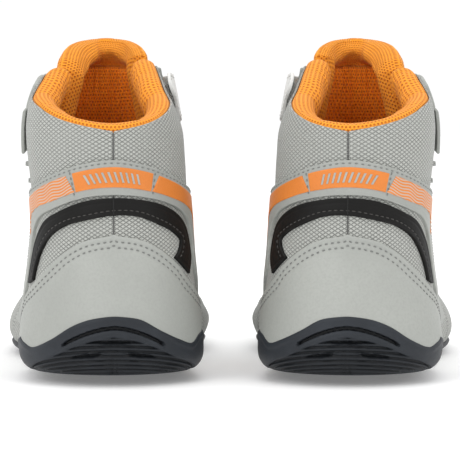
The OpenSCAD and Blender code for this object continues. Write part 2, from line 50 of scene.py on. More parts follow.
def make_stage():
    scene = bpy.context.scene
    cam_data = bpy.data.cameras.new("camera")
    cam = bpy.data.objects.new("camera", cam_data)
    scene.collection.objects.link(cam)
    cam.location = (TARGET[0], TARGET[1] - DISTANCE * math.cos(TILT),
                    TARGET[2] + DISTANCE * math.sin(TILT))
    cam.rotation_euler = (math.pi / 2 - TILT, 0, 0)
    cam_data.sensor_width = 36
    cam_data.lens = 241
    cam_data.shift_x, cam_data.shift_y = -0.0015, 0.0196
    scene.camera = cam

    world = bpy.data.worlds.new("studio")
    world.use_nodes = True
    back = world.node_tree.nodes["Background"]
    back.inputs["Color"].default_value = (1, 1, 1, 1)
    back.inputs["Strength"].default_value = 1.02
    scene.world = world
    scene.view_settings.view_transform = "Standard"

    def area(name, at, size, power, to=(0, -0.1, 0.06)):
        data = bpy.data.lights.new(name, "AREA")
        data.shape = "RECTANGLE"
        data.size, data.size_y = size
        data.energy = power
        lamp = bpy.data.objects.new(name, data)
        scene.collection.objects.link(lamp)
        lamp.location = at
        way = mathutils.Vector(to) - mathutils.Vector(at)
        lamp.rotation_euler = way.to_track_quat("-Z", "Y").to_euler()

    area("top", (0, -0.25, 1.5), (1.4, 1.4), 6)
    area("key", (-0.9, -1.4, 0.9), (0.8, 0.8), 5)
    area("fill", (1.2, -1.2, 0.7), (0.8, 0.8), 1.5)
    area("rim", (0.4, 1.4, 1.0), (1.2, 0.8), 1.5)

    mesh = bpy.data.meshes.new("floor")
    r = 4.0
    mesh.from_pydata([(-r, -r, -0.0003), (r, -r, -0.0003), (r, r, -0.0003), (-r, r, -0.0003)],
                     [], [(0, 1, 2, 3)])
    floor = bpy.data.objects.new("floor", mesh)
    scene.collection.objects.link(floor)
    m = bpy.data.materials.new("floor_pale")
    m.use_nodes = True
    b = m.node_tree.nodes["Principled BSDF"]
    b.inputs["Base Color"].default_value = (0.89, 0.89, 0.89, 1)
    b.inputs["Roughness"].default_value = 0.7
    b.inputs["Specular IOR Level"].default_value = 0.1
    b.inputs["Emission Color"].default_value = (1, 1, 1, 1)
    b.inputs["Emission Strength"].default_value = 0.17
    mesh.materials.append(m)


make_stage()

# ------------------------------------------------------------------ the shoe's skin

SEAM_GAP, TOE_OUT, MIDDLE_Y = 106.0, math.radians(3.5), 141.3
TREAD_T, CUP_BACK_H, MESH_T, OVERLAY_T, LINING_T = 4.0, 32.0, 0.9, 1.0, 2.5
GAP = 0.4
OVERLAY_D = 0.6 + OVERLAY_T  # outer face of the sewn-on overlays
INSOLE_Z = 12.1

back_y = [[0, 19], [4, 9], [10, 3.5], [16, 1], [25, 0.5], [35, 1.5], [50, 4.5], [68, 8.5],
          [85, 11], [100, 12], [115, 11.5], [130, 10.5], [160, 9]]
front_y = [[0, 254], [4, 268], [10, 278], [16, 281], [25, 280], [35, 268], [50, 236],
           [68, 196], [85, 164], [100, 146], [115, 135], [130, 129], [160, 124]]
tip_x = [[0, -12], [16, -15], [35, -14], [50, -10], [68, -6], [100, 0], [160, 2]]
heel_y = [[0, 46], [16, 42], [50, 46], [85, 54], [115, 60], [160, 60]]
heel_out = [[0, 31], [4, 37.5], [10, 41], [16, 42], [25, 41.5], [35, 40.3], [50, 38], [68, 36.3],
            [85, 37], [100, 38.8], [115, 40], [125, 39.5], [130, 38.5], [137, 35.5], [145, 31],
            [160, 28]]
heel_in = [[0, 31], [4, 37.5], [10, 40.5], [16, 41], [25, 40.6], [35, 39.8], [50, 38.5], [68, 37],
           [85, 35.8], [100, 35], [115, 34], [125, 31], [135, 26.5], [145, 23.5], [160, 22]]
waist_y = [[0, 112], [50, 108], [85, 88], [115, 80], [160, 80]]
waist_out = [[0, 32], [4, 37], [10, 40], [16, 41], [35, 40.5], [50, 38.5], [68, 37], [85, 37.5],
             [100, 39], [115, 39.5], [125, 38.5], [135, 35.5], [145, 31], [160, 28]]
waist_in = [[0, 30], [4, 35], [10, 38], [16, 39], [35, 39.5], [50, 38.5], [68, 36.5], [85, 35],
            [100, 34], [115, 33], [125, 30.5], [135, 26.5], [145, 24], [160, 22]]
ball_y_out = [[0, 178], [35, 172], [50, 156], [68, 134], [85, 116], [100, 104], [115, 98],
              [160, 94]]
ball_y_in = [[0, 198], [35, 192], [50, 170], [68, 144], [85, 120], [100, 106], [115, 99],
             [160, 94]]
ball_out = [[0, 39], [4, 45], [10, 49], [16, 49.5], [22, 47], [30, 42], [40, 37], [50, 34.5],
            [68, 32.5], [85, 33], [100, 35], [115, 35], [130, 32], [145, 28], [160, 25]]
ball_in = [[0, 42], [4, 48.5], [10, 52.5], [16, 53.5], [22, 51], [30, 45.5], [40, 39.5], [50, 36],
           [68, 33], [85, 31], [100, 30], [115, 29], [130, 26.5], [145, 23.5], [160, 22]]

collar_out = [[0, 116.5], [0.055, 119], [0.1, 121.5], [0.14, 124.5], [0.18, 128], [0.25, 132],
              [0.35, 136], [0.45, 139.5], [0.55, 142], [0.62, 142.4], [0.7, 139], [0.78, 133],
              [0.86, 127]]
collar_in = [[0, 116.5], [0.08, 120], [0.15, 124.5], [0.22, 129.5], [0.3, 133], [0.4, 137],
             [0.5, 140], [0.6, 143], [0.75, 146], [0.86, 146]]
cup_out = [[0, 1], [0.04, 0.94], [0.075, 0.84], [0.12, 0.64], [0.165, 0.52], [0.2, 0.56],
           [0.25, 0.58], [0.32, 0.44], [0.4, 0.19]]
cup_in = [[0, 1], [0.04, 0.945], [0.085, 0.78], [0.13, 0.635], [0.165, 0.57], [0.2, 0.67],
          [0.26, 0.63], [0.33, 0.45], [0.4, 0.19]]
fore_cup = [[0.6, 5.5], [0.8, 6.5], [0.92, 9], [1, 13]]
vamp_edge = [[0.66, 10], [0.68, 30], [0.7, 43], [0.76, 59], [0.86, 65], [1, 66]]
heel_overlay_out = [[0, 69], [0.045, 66], [0.09, 61], [0.145, 52.5], [0.19, 45.5], [0.22, 41.5],
                    [0.26, 35], [0.33, 27], [0.4, 16]]
heel_overlay_in = [[0, 69], [0.035, 67], [0.08, 62.5], [0.13, 55.5], [0.165, 48.5], [0.21, 42],
                   [0.27, 36], [0.33, 28], [0.4, 16]]
sling_low = [[-0.132, 58], [-0.148, 61.5], [-0.155, 66], [-0.13, 70], [-0.09, 74], [-0.045, 77.5],
             [0, 78], [0.05, 76], [0.1, 73], [0.145, 67.5], [0.175, 60], [0.19, 53],
             [0.195, 47]]
sling_high = [[-0.178, 50], [-0.194, 58], [-0.185, 69], [-0.16, 76], [-0.11, 82], [-0.055, 85],
              [0, 86], [0.055, 84.5], [0.115, 79.5], [0.165, 74], [0.205, 64], [0.22, 54],
              [0.225, 45]]
band_low = [[-0.5, 14], [-0.4, 24], [-0.3, 36], [-0.22, 52], [-0.215, 67], [-0.18, 77],
            [-0.12, 83], [-0.055, 86.3], [0, 87.3], [0.055, 86], [0.125, 81], [0.19, 75],
            [0.235, 64], [0.245, 52], [0.3, 38], [0.4, 25], [0.5, 14]]
band_high = [[-0.62, 20], [-0.56, 42], [-0.47, 62], [-0.39, 76], [-0.295, 85], [-0.2, 90.5],
             [-0.13, 96], [-0.065, 101], [0, 103.5], [0.065, 101], [0.13, 96], [0.2, 90.5],
             [0.295, 85], [0.39, 77], [0.47, 62], [0.56, 42], [0.62, 20]]
strap_low = [[0.54, 104], [0.64, 106], [0.74, 109], [0.86, 112], [1, 113.5], [1.14, 114.5],
             [1.26, 120], [1.36, 127.5], [1.44, 132]]
strap_high = [[0.54, 124], [0.64, 128], [0.74, 132], [0.86, 135], [1, 137], [1.14, 139],
              [1.26, 141], [1.36, 142], [1.44, 138]]
strap_lift = [[0, 1.9], [0.18, 2.2], [0.3, 4.6], [0.38, 6.2], [0.68, 6.2], [0.8, 4.4], [1, 2.5]]
patch_low = [[1.3, 125], [1.35, 128], [1.4, 131]]
patch_high = [[1.3, 138], [1.35, 138], [1.4, 137]]


def curve(points, x):
    """A smooth curve through control points [x, value]."""
    p = np.asarray(points, float)
    px, py = p[:, 0], p[:, 1]
    x = np.clip(np.asarray(x, float), px[0], px[-1])
    m = np.empty(len(px))
    m[0] = (py[1] - py[0]) / (px[1] - px[0])
    m[-1] = (py[-1] - py[-2]) / (px[-1] - px[-2])
    m[1:-1] = (py[2:] - py[:-2]) / (px[2:] - px[:-2])
    i = np.clip(np.searchsorted(px, x, side="right") - 1, 0, len(px) - 2)
    span = px[i + 1] - px[i]
    t = (x - px[i]) / span
    return ((2 * t**3 - 3 * t**2 + 1) * py[i] + (t**3 - 2 * t**2 + t) * span * m[i]
            + (3 * t**2 - 2 * t**3) * py[i + 1] + (t**3 - t**2) * span * m[i + 1])


def along(points, s):
    """Ways round and heights along a smooth curve through [way round, height] points."""
    p = np.asarray(points, float)
    k = np.linspace(0, 1, len(p))
    return (curve(np.stack([k, p[:, 0]], 1), s), curve(np.stack([k, p[:, 1]], 1), s))


def fold(w):
    w = np.asarray(w, float)
    return np.where(w > 1, w - 2, w)


def side(out, inn, w):
    u = fold(w)
    return np.where(u >= 0, curve(out, u), curve(inn, -u))


def skin_point(u, h):
    u, h = np.broadcast_arrays(np.asarray(u, float), np.asarray(h, float))
    s = np.where(u < 0, -1.0, 1.0)
    part = np.minimum((np.abs(u) * 4).astype(int), 3)
    t = np.abs(u) * 4 - part
    hx = np.where(s > 0, curve(heel_out, h), curve(heel_in, h))
    wx = np.where(s > 0, curve(waist_out, h), curve(waist_in, h))
    bx = np.where(s > 0, curve(ball_out, h), curve(ball_in, h))
    tx = s * curve(tip_x, h)
    y0, y1, y2 = curve(back_y, h), curve(heel_y, h), curve(waist_y, h)
    y3 = np.where(s > 0, curve(ball_y_out, h), curve(ball_y_in, h))
    y4 = curve(front_y, h)
    k = 0.5523

    def bezier(a, b, c, d):
        return ((1 - t)**3 * a + 3 * (1 - t)**2 * t * b + 3 * (1 - t) * t**2 * c + t**3 * d)

    def pick(*spans):
        return np.choose(part, spans)

    x = s * bezier(pick(0 * hx, hx, wx, bx), pick(k * hx, hx, wx, bx),
                   pick(hx, wx, bx, tx + 0.6 * (bx - tx)), pick(hx, wx, bx, tx))
    y = bezier(pick(y0, y1, y2, y3),
               pick(y0, y1 + 0.4 * (y2 - y1), y2 + 0.4 * (y3 - y2), y3 + 0.52 * (y4 - y3)),
               pick(y1 - k * (y1 - y0), y2 - 0.4 * (y2 - y1), y3 - 0.4 * (y3 - y2), y4),
               pick(y1, y2, y3, y4))
    rise = np.clip((y - 205) / 76, 0, 1.1)
    return np.stack([x, y, h + 13 * rise**2], -1)


def skin_normal(u, h):
    u, h = np.broadcast_arrays(np.asarray(u, float), np.asarray(h, float))
    across = skin_point(np.minimum(u + 0.001, 1), h) - skin_point(np.maximum(u - 0.001, -1), h)
    up = skin_point(u, h + 0.05) - skin_point(u, np.maximum(h - 0.05, 0))
    n = np.cross(across, up)
    return n / np.maximum(np.linalg.norm(n, axis=-1, keepdims=True), 1e-9)


def at(w, h, d=0.0):
    """Points at way round w and height h, d outside the skin."""
    u = fold(w)
    return skin_point(u, h) + np.asarray(d, float)[..., None] * skin_normal(u, h)


def eased(w, e=0.02):
    """The way round with the kink at the back seam taken out of what depends on it."""
    w = np.asarray(w, float)
    soft = np.sqrt(w**2 + e**2) - e * np.exp(-(w / (3 * e))**2)
    return np.where(w < 0, -soft, soft)


def collar_h(w):
    return side(collar_out, collar_in, w)


def cup_h(w):
    return CUP_BACK_H * side(cup_out, cup_in, eased(w))


def fore_cup_h(w):
    return curve(fore_cup, np.abs(fold(w)))


def vamp_h(w):
    return curve(vamp_edge, np.abs(fold(w)))


def foot_h(w):
    u = np.abs(fold(w))
    return np.where(u <= 0.4, cup_h(w) + GAP, np.where(u < 0.6, TREAD_T + GAP + 1,
                                                       fore_cup_h(w) + GAP))


WAYS = np.linspace(-1, 2, 1201)


def girth(h):
    """Distances round the skin at a height, in mm from the back seam, for WAYS."""
    points = skin_point(fold(WAYS), h)
    run = np.concatenate([[0], np.cumsum(np.linalg.norm(np.diff(points, axis=0), axis=1))])
    return run - np.interp(0, WAYS, run)


FOOT_GIRTH, SHAFT_GIRTH = girth(45.0), girth(115.0)


def arc(w):
    return np.interp(w, WAYS, FOOT_GIRTH)


def shaft_arc(w):
    """The same round the top of the shaft."""
    return np.interp(w, WAYS, SHAFT_GIRTH)


def way(mm):
    return np.interp(mm, FOOT_GIRTH, WAYS)


def bump_at(x, centre, width):
    return np.exp(-((x - centre) / width)**2)


def smooth(a, b, x):
    t = np.clip((np.asarray(x, float) - a) / (b - a), 0, 1)
    return t * t * (3 - 2 * t)


def wobble(a, b, seed=0.0):
    """Slow, small ripples of a sewn fabric, between about -1 and 1."""
    return (np.sin(a * 0.11 + seed) * np.sin(b * 0.13 + 1.7 * seed + 0.6)
            + 0.5 * np.sin(a * 0.23 + b * 0.19 + 2.1 + seed)
            + 0.3 * np.sin(a * 0.41 - b * 0.37 + seed)) / 1.5


# ------------------------------------------------------------------ mesh making

class Shape:
    """Vertices in mm in the shoe's own frame, faces, and a few values for each vertex."""

    def __init__(self, verts, faces, uv, edge=None):
        self.verts = np.asarray(verts, float)
        self.faces = faces
        self.uv = np.asarray(uv, float)
        self.edge = np.full(len(self.verts), 9.0) if edge is None else np.asarray(edge, float)


def joined(shapes):
    verts, faces, uv, edge, n = [], [], [], [], 0
    for s in shapes:
        verts.append(s.verts)
        faces += [tuple(i + n for i in f) for f in s.faces]
        uv.append(s.uv)
        edge.append(s.edge)
        n += len(s.verts)
    return Shape(np.concatenate(verts), faces, np.concatenate(uv), np.concatenate(edge))


def slab(outer, inner, uv, edge):
    """A closed slab between two grids of points."""
    n, m = outer.shape[:2]
    o = np.arange(n * m).reshape(n, m)
    b = o + n * m

    def quads(p, q, r, s):
        return np.stack([p.ravel(), q.ravel(), r.ravel(), s.ravel()], 1)

    faces = np.concatenate([
        quads(o[:-1, :-1], o[1:, :-1], o[1:, 1:], o[:-1, 1:]),
        quads(b[:-1, :-1], b[:-1, 1:], b[1:, 1:], b[1:, :-1]),
        quads(o[1:, 0], o[:-1, 0], b[:-1, 0], b[1:, 0]),
        quads(o[:-1, -1], o[1:, -1], b[1:, -1], b[:-1, -1]),
        quads(o[0, :-1], o[0, 1:], b[0, 1:], b[0, :-1]),
        quads(o[-1, 1:], o[-1, :-1], b[-1, :-1], b[-1, 1:]),
    ])
    uv = uv.reshape(-1, 2)
    edge = edge.ravel()
    return Shape(np.concatenate([outer.reshape(-1, 3), inner.reshape(-1, 3)]),
                 [tuple(f) for f in faces.tolist()], np.concatenate([uv, uv]),
                 np.concatenate([edge, edge]))


RIM_STEPS = np.array([0, 0.1, 0.35, 1.0])


def spaced(n, length, rim):
    """Shares from 0 to 1 with close ones at both ends, one row for each length."""
    length = np.atleast_1d(np.asarray(length, float))
    e = RIM_STEPS[None, :] * np.minimum(rim / length, 0.4)[:, None]
    first, last = e[:, -1:], 1 - e[:, -1:]
    mid = first + (last - first) * np.linspace(0, 1, n + 1)[None, :]
    return np.concatenate([e[:, :-1], mid, 1 - e[:, :-1][:, ::-1]], 1)


def patch(low, high, cols, rows, inside, outside, rim=0.5, run=None):
    """A sewn-on or sewn-in panel. low and high give (way round, height) along the two edges.
    Its outer edge is rounded; outside and inside are numbers or functions of (w, h, dist)."""
    s0 = np.linspace(0, 1, 60)
    a, b = np.stack(low(s0), -1), np.stack(high(s0), -1)
    mid = (a + b) / 2
    length = np.linalg.norm(np.diff(at(mid[:, 0], mid[:, 1]), axis=0), axis=1).sum()
    s = spaced(cols, length, rim)[0]
    lw, lh = low(s)
    hw, hh = high(s)
    width = np.linalg.norm(at(hw, hh) - at(lw, lh), axis=-1)
    width = np.maximum(width, 0.2)
    t = spaced(rows, width, rim)
    w = lw[:, None] + (hw - lw)[:, None] * t
    h = lh[:, None] + (hh - lh)[:, None] * t
    dist = np.minimum(np.minimum(t, 1 - t) * width[:, None],
                      (np.minimum(s, 1 - s) * length)[:, None])
    k = np.minimum(dist, rim)
    drop = rim - np.sqrt(np.maximum(rim**2 - (rim - k)**2, 0))
    out = outside(w, h, dist) if callable(outside) else outside
    inn = inside(w, h, dist) if callable(inside) else inside
    outer = at(w, h, out - drop)
    inner = at(w, h, inn + 0 * drop)
    up = np.cumsum(np.linalg.norm(np.diff(outer, axis=1, prepend=outer[:, :1]), axis=2), axis=1)
    uv = np.stack([(run or arc)(w), h[:, :1] + up], -1) / 10
    return slab(outer, inner, uv, dist)


def panel(a, b, low, high, cols, rows, inside, outside, rim=0.5, run=None):
    def edge(f):
        def run(s):
            w = a + (b - a) * s
            return w, (f(w) if callable(f) else f + 0 * w)
        return run
    return patch(edge(low), edge(high), cols, rows, inside, outside, rim, run=run)


def strip(low, high, cols, rows, inside, outside, rim=0.5, s0=0.0, s1=1.0, t0=0.0, t1=1.0):
    def edge(k):
        def run(s):
            s = s0 + (s1 - s0) * s
            a, b = along(low, s), along(high, s)
            return a[0] + (b[0] - a[0]) * k, a[1] + (b[1] - a[1]) * k
        return run
    return patch(edge(t0), edge(t1), cols, rows, inside, outside, rim)


def tube(points, sides, shape, uv_scale=1.0, closed=False):
    """Cross-sections swept along points: shape(i) gives the offsets of one section's corners."""
    n = len(points)
    rings = np.stack([shape(i) for i in range(n)])
    m = rings.shape[1]
    ids = np.arange(n * m).reshape(n, m)
    faces = []
    for i in range(n - 1 if not closed else n):
        k = (i + 1) % n
        for j in range(m):
            faces.append((ids[i, j], ids[i, (j + 1) % m], ids[k, (j + 1) % m], ids[k, j]))
    if not closed:
        faces.append(tuple(ids[0, ::-1]))
        faces.append(tuple(ids[-1]))
    run = np.concatenate([[0], np.cumsum(np.linalg.norm(np.diff(points, axis=0), axis=1))])
    uv = np.stack([np.repeat(run[:, None], m, 1), np.repeat(np.linspace(0, 1, m)[None], n, 0)
                   * uv_scale], -1) / 10
    faces = [tuple(int(v) for v in f) for f in faces]
    return Shape(rings.reshape(-1, 3), faces, uv.reshape(-1, 2))


def threads(w, h, d, pitch=2.6, length=1.75, half=0.3, lift=0.12):
    """A line of stitches along a path on the skin."""
    w, h = np.asarray(w, float), np.asarray(h, float)
    d = d + 0 * w
    p = at(w, h, d)
    run = np.concatenate([[0], np.cumsum(np.linalg.norm(np.diff(p, axis=0), axis=1))])
    count = max(int(run[-1] / pitch), 1)
    centres = (np.arange(count) + 0.5) * run[-1] / count
    shapes = []
    q = np.array([0, 0.12, 0.5, 0.88, 1]) - 0.5
    fat = np.array([0.25, 0.8, 1, 0.8, 0.25])
    ring = np.arange(6) / 6 * 2 * math.pi
    cw, ch, cd = (np.interp(centres, run, v) for v in (w, h, d))
    c = at(cw, ch, cd + lift)
    n = skin_normal(fold(cw), ch)
    e = 0.3
    a = at(np.interp(centres - e, run, w), np.interp(centres - e, run, h), cd + lift)
    b = at(np.interp(centres + e, run, w), np.interp(centres + e, run, h), cd + lift)
    t = b - a
    t /= np.maximum(np.linalg.norm(t, axis=1, keepdims=True), 1e-9)
    s = np.cross(n, t)
    v = (c[:, None, None] + t[:, None, None] * (q * length)[None, :, None, None]
         + (s[:, None, None] * np.cos(ring)[None, None, :, None]
            + n[:, None, None] * np.sin(ring)[None, None, :, None] * 0.8)
         * (fat * half)[None, :, None, None]
         - n[:, None, None] * ((np.abs(q) * 2)**3 * 0.2)[None, :, None, None])
    faces = []
    for k in range(count):
        o = k * 30
        for i in range(4):
            for j in range(6):
                faces.append((o + i * 6 + j, o + i * 6 + (j + 1) % 6,
                              o + (i + 1) * 6 + (j + 1) % 6, o + (i + 1) * 6 + j))
        faces.append(tuple(o + j for j in range(5, -1, -1)))
        faces.append(tuple(o + 24 + j for j in range(6)))
    uv = np.zeros((count * 30, 2))
    uv[:, 0] = np.repeat(centres, 30) / 10
    uv[:, 1] = np.tile(np.repeat(q, 6), count) / 10
    return Shape(v.reshape(-1, 3), faces, uv)


def to_row(verts):
    """From the right shoe's own frame to metres in the row frame."""
    c, s = math.cos(-TOE_OUT), math.sin(-TOE_OUT)
    x = verts[:, 0] * c - verts[:, 1] * s + SEAM_GAP / 2
    y = verts[:, 0] * s + verts[:, 1] * c - MIDDLE_Y
    return np.stack([x, y, verts[:, 2]], 1) / 1000


def pair(name, shape, material, part="shoe", stands=(), sharp=40):
    """The piece on the right shoe and its mirror image on the left."""
    for which in ("right", "left"):
        verts = to_row(shape.verts)
        faces = shape.faces
        if which == "left":
            verts = verts * np.array([-1, 1, 1])
            faces = [tuple(reversed(f)) for f in faces]
        full = which + "_" + name
        mesh = bpy.data.meshes.new(full)
        mesh.from_pydata(verts.tolist(), [], faces)
        index = np.empty(len(mesh.loops), int)
        mesh.loops.foreach_get("vertex_index", index)
        layer = mesh.uv_layers.new(name="skin")
        layer.data.foreach_set("uv", shape.uv[index].astype(np.float32).ravel())
        att = mesh.attributes.new("edge", "FLOAT", "POINT")
        att.data.foreach_set("value", shape.edge.astype(np.float32))
        mesh.polygons.foreach_set("use_smooth", [True] * len(mesh.polygons))
        mesh.set_sharp_from_angle(angle=math.radians(sharp))
        mesh.materials.append(material)
        mesh.update()
        obj = bpy.data.objects.new(full, mesh)
        bpy.context.scene.collection.objects.link(obj)
        if stands:
            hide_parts(*[which + "_" + s for s in stands])
        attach(obj, which + "_" + part)


# ------------------------------------------------------------------ materials

class Look:
    """Builds one node material; sockets and numbers mix freely in its arithmetic."""

    def __init__(self, name, roughness=0.6, specular=0.35, sheen=0.0, sheen_rough=0.5):
        self.m = bpy.data.materials.new(name)
        self.m.use_nodes = True
        self.t = self.m.node_tree
        self.b = self.t.nodes["Principled BSDF"]
        self.b.inputs["Roughness"].default_value = roughness
        self.b.inputs["Specular IOR Level"].default_value = specular
        self.b.inputs["Sheen Weight"].default_value = sheen
        self.b.inputs["Sheen Roughness"].default_value = sheen_rough

    def put(self, socket, value):
        if isinstance(value, bpy.types.NodeSocket):
            self.t.links.new(value, socket)
        else:
            socket.default_value = value

    def op(self, kind, a, b=None):
        n = self.t.nodes.new("ShaderNodeMath")
        n.operation = kind
        for i, v in enumerate((a, b)):
            if v is not None:
                self.put(n.inputs[i], v)
        return n.outputs[0]

    def add(self, a, b):
        return self.op("ADD", a, b)

    def mul(self, a, b):
        return self.op("MULTIPLY", a, b)

    def frac(self, a):
        return self.op("FRACT", a)

    def span(self, value, a, b, lo=0.0, hi=1.0):
        n = self.t.nodes.new("ShaderNodeMapRange")
        n.interpolation_type = "SMOOTHSTEP"
        self.put(n.inputs["Value"], value)
        n.inputs["From Min"].default_value = a
        n.inputs["From Max"].default_value = b
        n.inputs["To Min"].default_value = lo
        n.inputs["To Max"].default_value = hi
        return n.outputs["Result"]

    def mix(self, fac, a, b):
        n = self.t.nodes.new("ShaderNodeMix")
        n.data_type = "RGBA"
        self.put(n.inputs[0], fac)
        for i, v in ((6, a), (7, b)):
            self.put(n.inputs[i], v if isinstance(v, bpy.types.NodeSocket) else (*v, 1))
        return n.outputs[2]

    def skin(self):
        """Distance round the shoe and height, in mm."""
        n = self.t.nodes.new("ShaderNodeUVMap")
        n.uv_map = "skin"
        sep = self.t.nodes.new("ShaderNodeSeparateXYZ")
        self.t.links.new(n.outputs[0], sep.inputs[0])
        return self.mul(sep.outputs[0], 10), self.mul(sep.outputs[1], 10)

    def place(self):
        n = self.t.nodes.new("ShaderNodeTexCoord")
        return n.outputs["Object"]

    def edge(self):
        n = self.t.nodes.new("ShaderNodeAttribute")
        n.attribute_name = "edge"
        return n.outputs["Fac"]

    def noise(self, scale, detail=3):
        n = self.t.nodes.new("ShaderNodeTexNoise")
        self.put(n.inputs["Vector"], self.place())
        n.inputs["Scale"].default_value = scale
        n.inputs["Detail"].default_value = detail
        n.inputs["Roughness"].default_value = 0.55
        return n.outputs["Fac"]

    def cells(self, scale):
        n = self.t.nodes.new("ShaderNodeTexVoronoi")
        self.put(n.inputs["Vector"], self.place())
        n.inputs["Scale"].default_value = scale
        return n.outputs["Distance"]

    def bump(self, height, distance):
        n = self.t.nodes.new("ShaderNodeBump")
        n.inputs["Strength"].default_value = 1.0
        n.inputs["Distance"].default_value = distance / 1000
        self.put(n.inputs["Height"], height)
        self.t.links.new(n.outputs[0], self.b.inputs["Normal"])

    def colour(self, value):
        if isinstance(value, tuple):
            self.b.inputs["Base Color"].default_value = (*value, 1)
        else:
            self.t.links.new(value, self.b.inputs["Base Color"])

    def rough(self, value):
        self.t.links.new(value, self.b.inputs["Roughness"])


def shade(c, k):
    return tuple(min(v * k, 1.0) for v in c)


def synthetic(name, base, grain=900.0, rough=0.5, depth=0.05, worn=1.25, sheen=0.0,
              specular=0.4, end=None):
    """Smooth coated upper material with a fine pebble grain and edges that scuff lighter."""
    k = Look(name, rough, specular, sheen)
    big = k.noise(18, 4)
    fine = k.noise(grain, 3)
    pebble = k.cells(grain * 0.8)
    col = k.mix(k.span(big, 0.3, 0.7), shade(base, 0.93), shade(base, 1.05))
    col = k.mix(k.span(fine, 0.35, 0.75, 0, 0.5), col, shade(base, 0.86))
    scuff = k.mul(k.span(k.edge(), 0.05, 0.9, 1, 0), k.span(k.noise(160, 3), 0.4, 0.65))
    col = k.mix(k.mul(scuff, 0.5), col, shade(base, worn))
    if end:
        # the sewn end of the strap, up to a distance round the shoe, has the upper's own grey
        col = k.mix(k.span(k.skin()[0], end[0] - 0.3, end[0] + 0.3, 1, 0), col, end[1])
    k.colour(col)
    k.rough(k.add(k.mul(fine, 0.18), rough - 0.08))
    k.bump(k.add(k.mul(pebble, 0.7), k.mul(fine, 0.5)), depth)
    return k.m


def woven_mesh(name, light, dark):
    """Woven upper mesh: small light lozenges of yarn, with painted shade in the gaps between them.
    """
    k = Look(name, 0.75, 0.25, 0.25)
    x, y = k.skin()
    a = k.add(k.op("DIVIDE", x, 3.1), k.op("DIVIDE", y, 1.9))
    b = k.op("SUBTRACT", k.op("DIVIDE", x, 3.1), k.op("DIVIDE", y, 1.9))
    yarn = k.mul(k.span(k.op("PINGPONG", a, 0.5), 0.02, 0.2),
                 k.span(k.op("PINGPONG", b, 0.5), 0.02, 0.2))
    odd = k.op("MODULO", k.add(k.op("FLOOR", a), k.add(k.op("FLOOR", b), 1000)), 2)
    strand = k.op("PINGPONG", k.add(k.mul(y, 1.9), k.mul(x, 0.3)), 0.5)
    tone = k.mix(k.span(strand, 0.0, 0.5), shade(light, 0.88), shade(light, 1.1))
    tone = k.mix(k.mul(odd, 0.35), tone, shade(light, 0.84))
    # painted shade: the gaps between the lozenges take the dark colour
    tone = k.mix(k.span(yarn, 0.05, 0.6), dark, tone)
    tone = k.mix(k.span(k.noise(60, 3), 0.3, 0.7, 0, 0.3), tone, shade(light, 0.86))
    k.colour(tone)
    k.bump(k.add(k.add(yarn, k.mul(strand, 0.3)), k.mul(k.noise(2500, 2), 0.2)), 0.45)
    return k.m


def spacer_knit(name, light, dark, inner, deep=0.7, cell=(2.0, 1.65)):
    """Spacer knit with small open cells in offset rows; painted shade deepens the colour in the
    cells and inside the shoe.
    """
    k = Look(name, 0.8, 0.2, 0.08)
    x, y = k.skin()
    v = k.op("DIVIDE", y, cell[1])
    even = k.op("MODULO", k.op("FLOOR", v), 2)
    u = k.add(k.op("DIVIDE", x, cell[0]), k.mul(even, 0.5))
    cx = k.op("SUBTRACT", k.frac(u), 0.5)
    cy = k.op("SUBTRACT", k.frac(v), 0.5)
    r = k.op("SQRT", k.add(k.mul(k.mul(cx, cx), 1.4), k.mul(cy, cy)))
    hole = k.span(r, 0.14, 0.4, 1, 0)
    fibre = k.noise(2600, 2)
    # painted shade: from the rim inwards (edge attribute) the colour deepens to the inner colour
    tone = k.mix(k.span(k.edge(), 1, 13), light, inner)
    tone = k.mix(k.span(fibre, 0.3, 0.7, 0.0, 0.3), tone, shade(light, 0.8))
    tone = k.mix(k.span(k.noise(45, 3), 0.35, 0.7, 0, 0.1), tone, shade(light, 0.8))
    # painted shade in the open cells: they take the dark colour
    k.colour(k.mix(k.mul(hole, 0.8), tone, dark))
    k.bump(k.op("SUBTRACT", k.mul(fibre, 0.2), hole), deep)
    return k.m


def rubber_look(name, base):
    k = Look(name, 0.55, 0.25)
    fine = k.noise(1500, 3)
    big = k.noise(25, 4)
    dust = k.mul(k.span(k.noise(90, 4), 0.5, 0.75), 0.35)
    col = k.mix(k.span(big, 0.3, 0.7), shade(base, 0.85), shade(base, 1.15))
    col = k.mix(dust, col, shade(base, 1.7))
    # painted shade: where the edge attribute is below 1 (the heel cup's slit, recesses and ribbed
    # field) the colour is darkened, to about 28% at 0
    col = k.mix(k.span(k.edge(), 0.0, 1.0, 0.85, 0), col, shade(base, 0.15))
    k.colour(col)
    k.rough(k.add(k.mul(fine, 0.25), 0.4))
    k.bump(fine, 0.05)
    return k.m


def webbing_look(name, base, across=0.9, lengthwise=0.6):
    k = Look(name, 0.75, 0.25, 0.2)
    x, y = k.skin()
    a = k.op("PINGPONG", k.op("DIVIDE", k.add(x, y), across), 0.5)
    b = k.op("PINGPONG", k.op("DIVIDE", k.op("SUBTRACT", x, y), across), 0.5)
    ribs = k.op("MAXIMUM", k.span(a, 0.05, 0.4), k.span(b, 0.05, 0.4))
    tone = k.mix(ribs, shade(base, 0.6), shade(base, 1.1))
    tone = k.mix(k.span(k.noise(200, 3), 0.4, 0.7, 0, 0.4), tone, shade(base, 0.8))
    k.colour(tone)
    k.bump(k.add(ribs, k.mul(k.noise(3000, 2), 0.3)), 0.3)
    return k.m


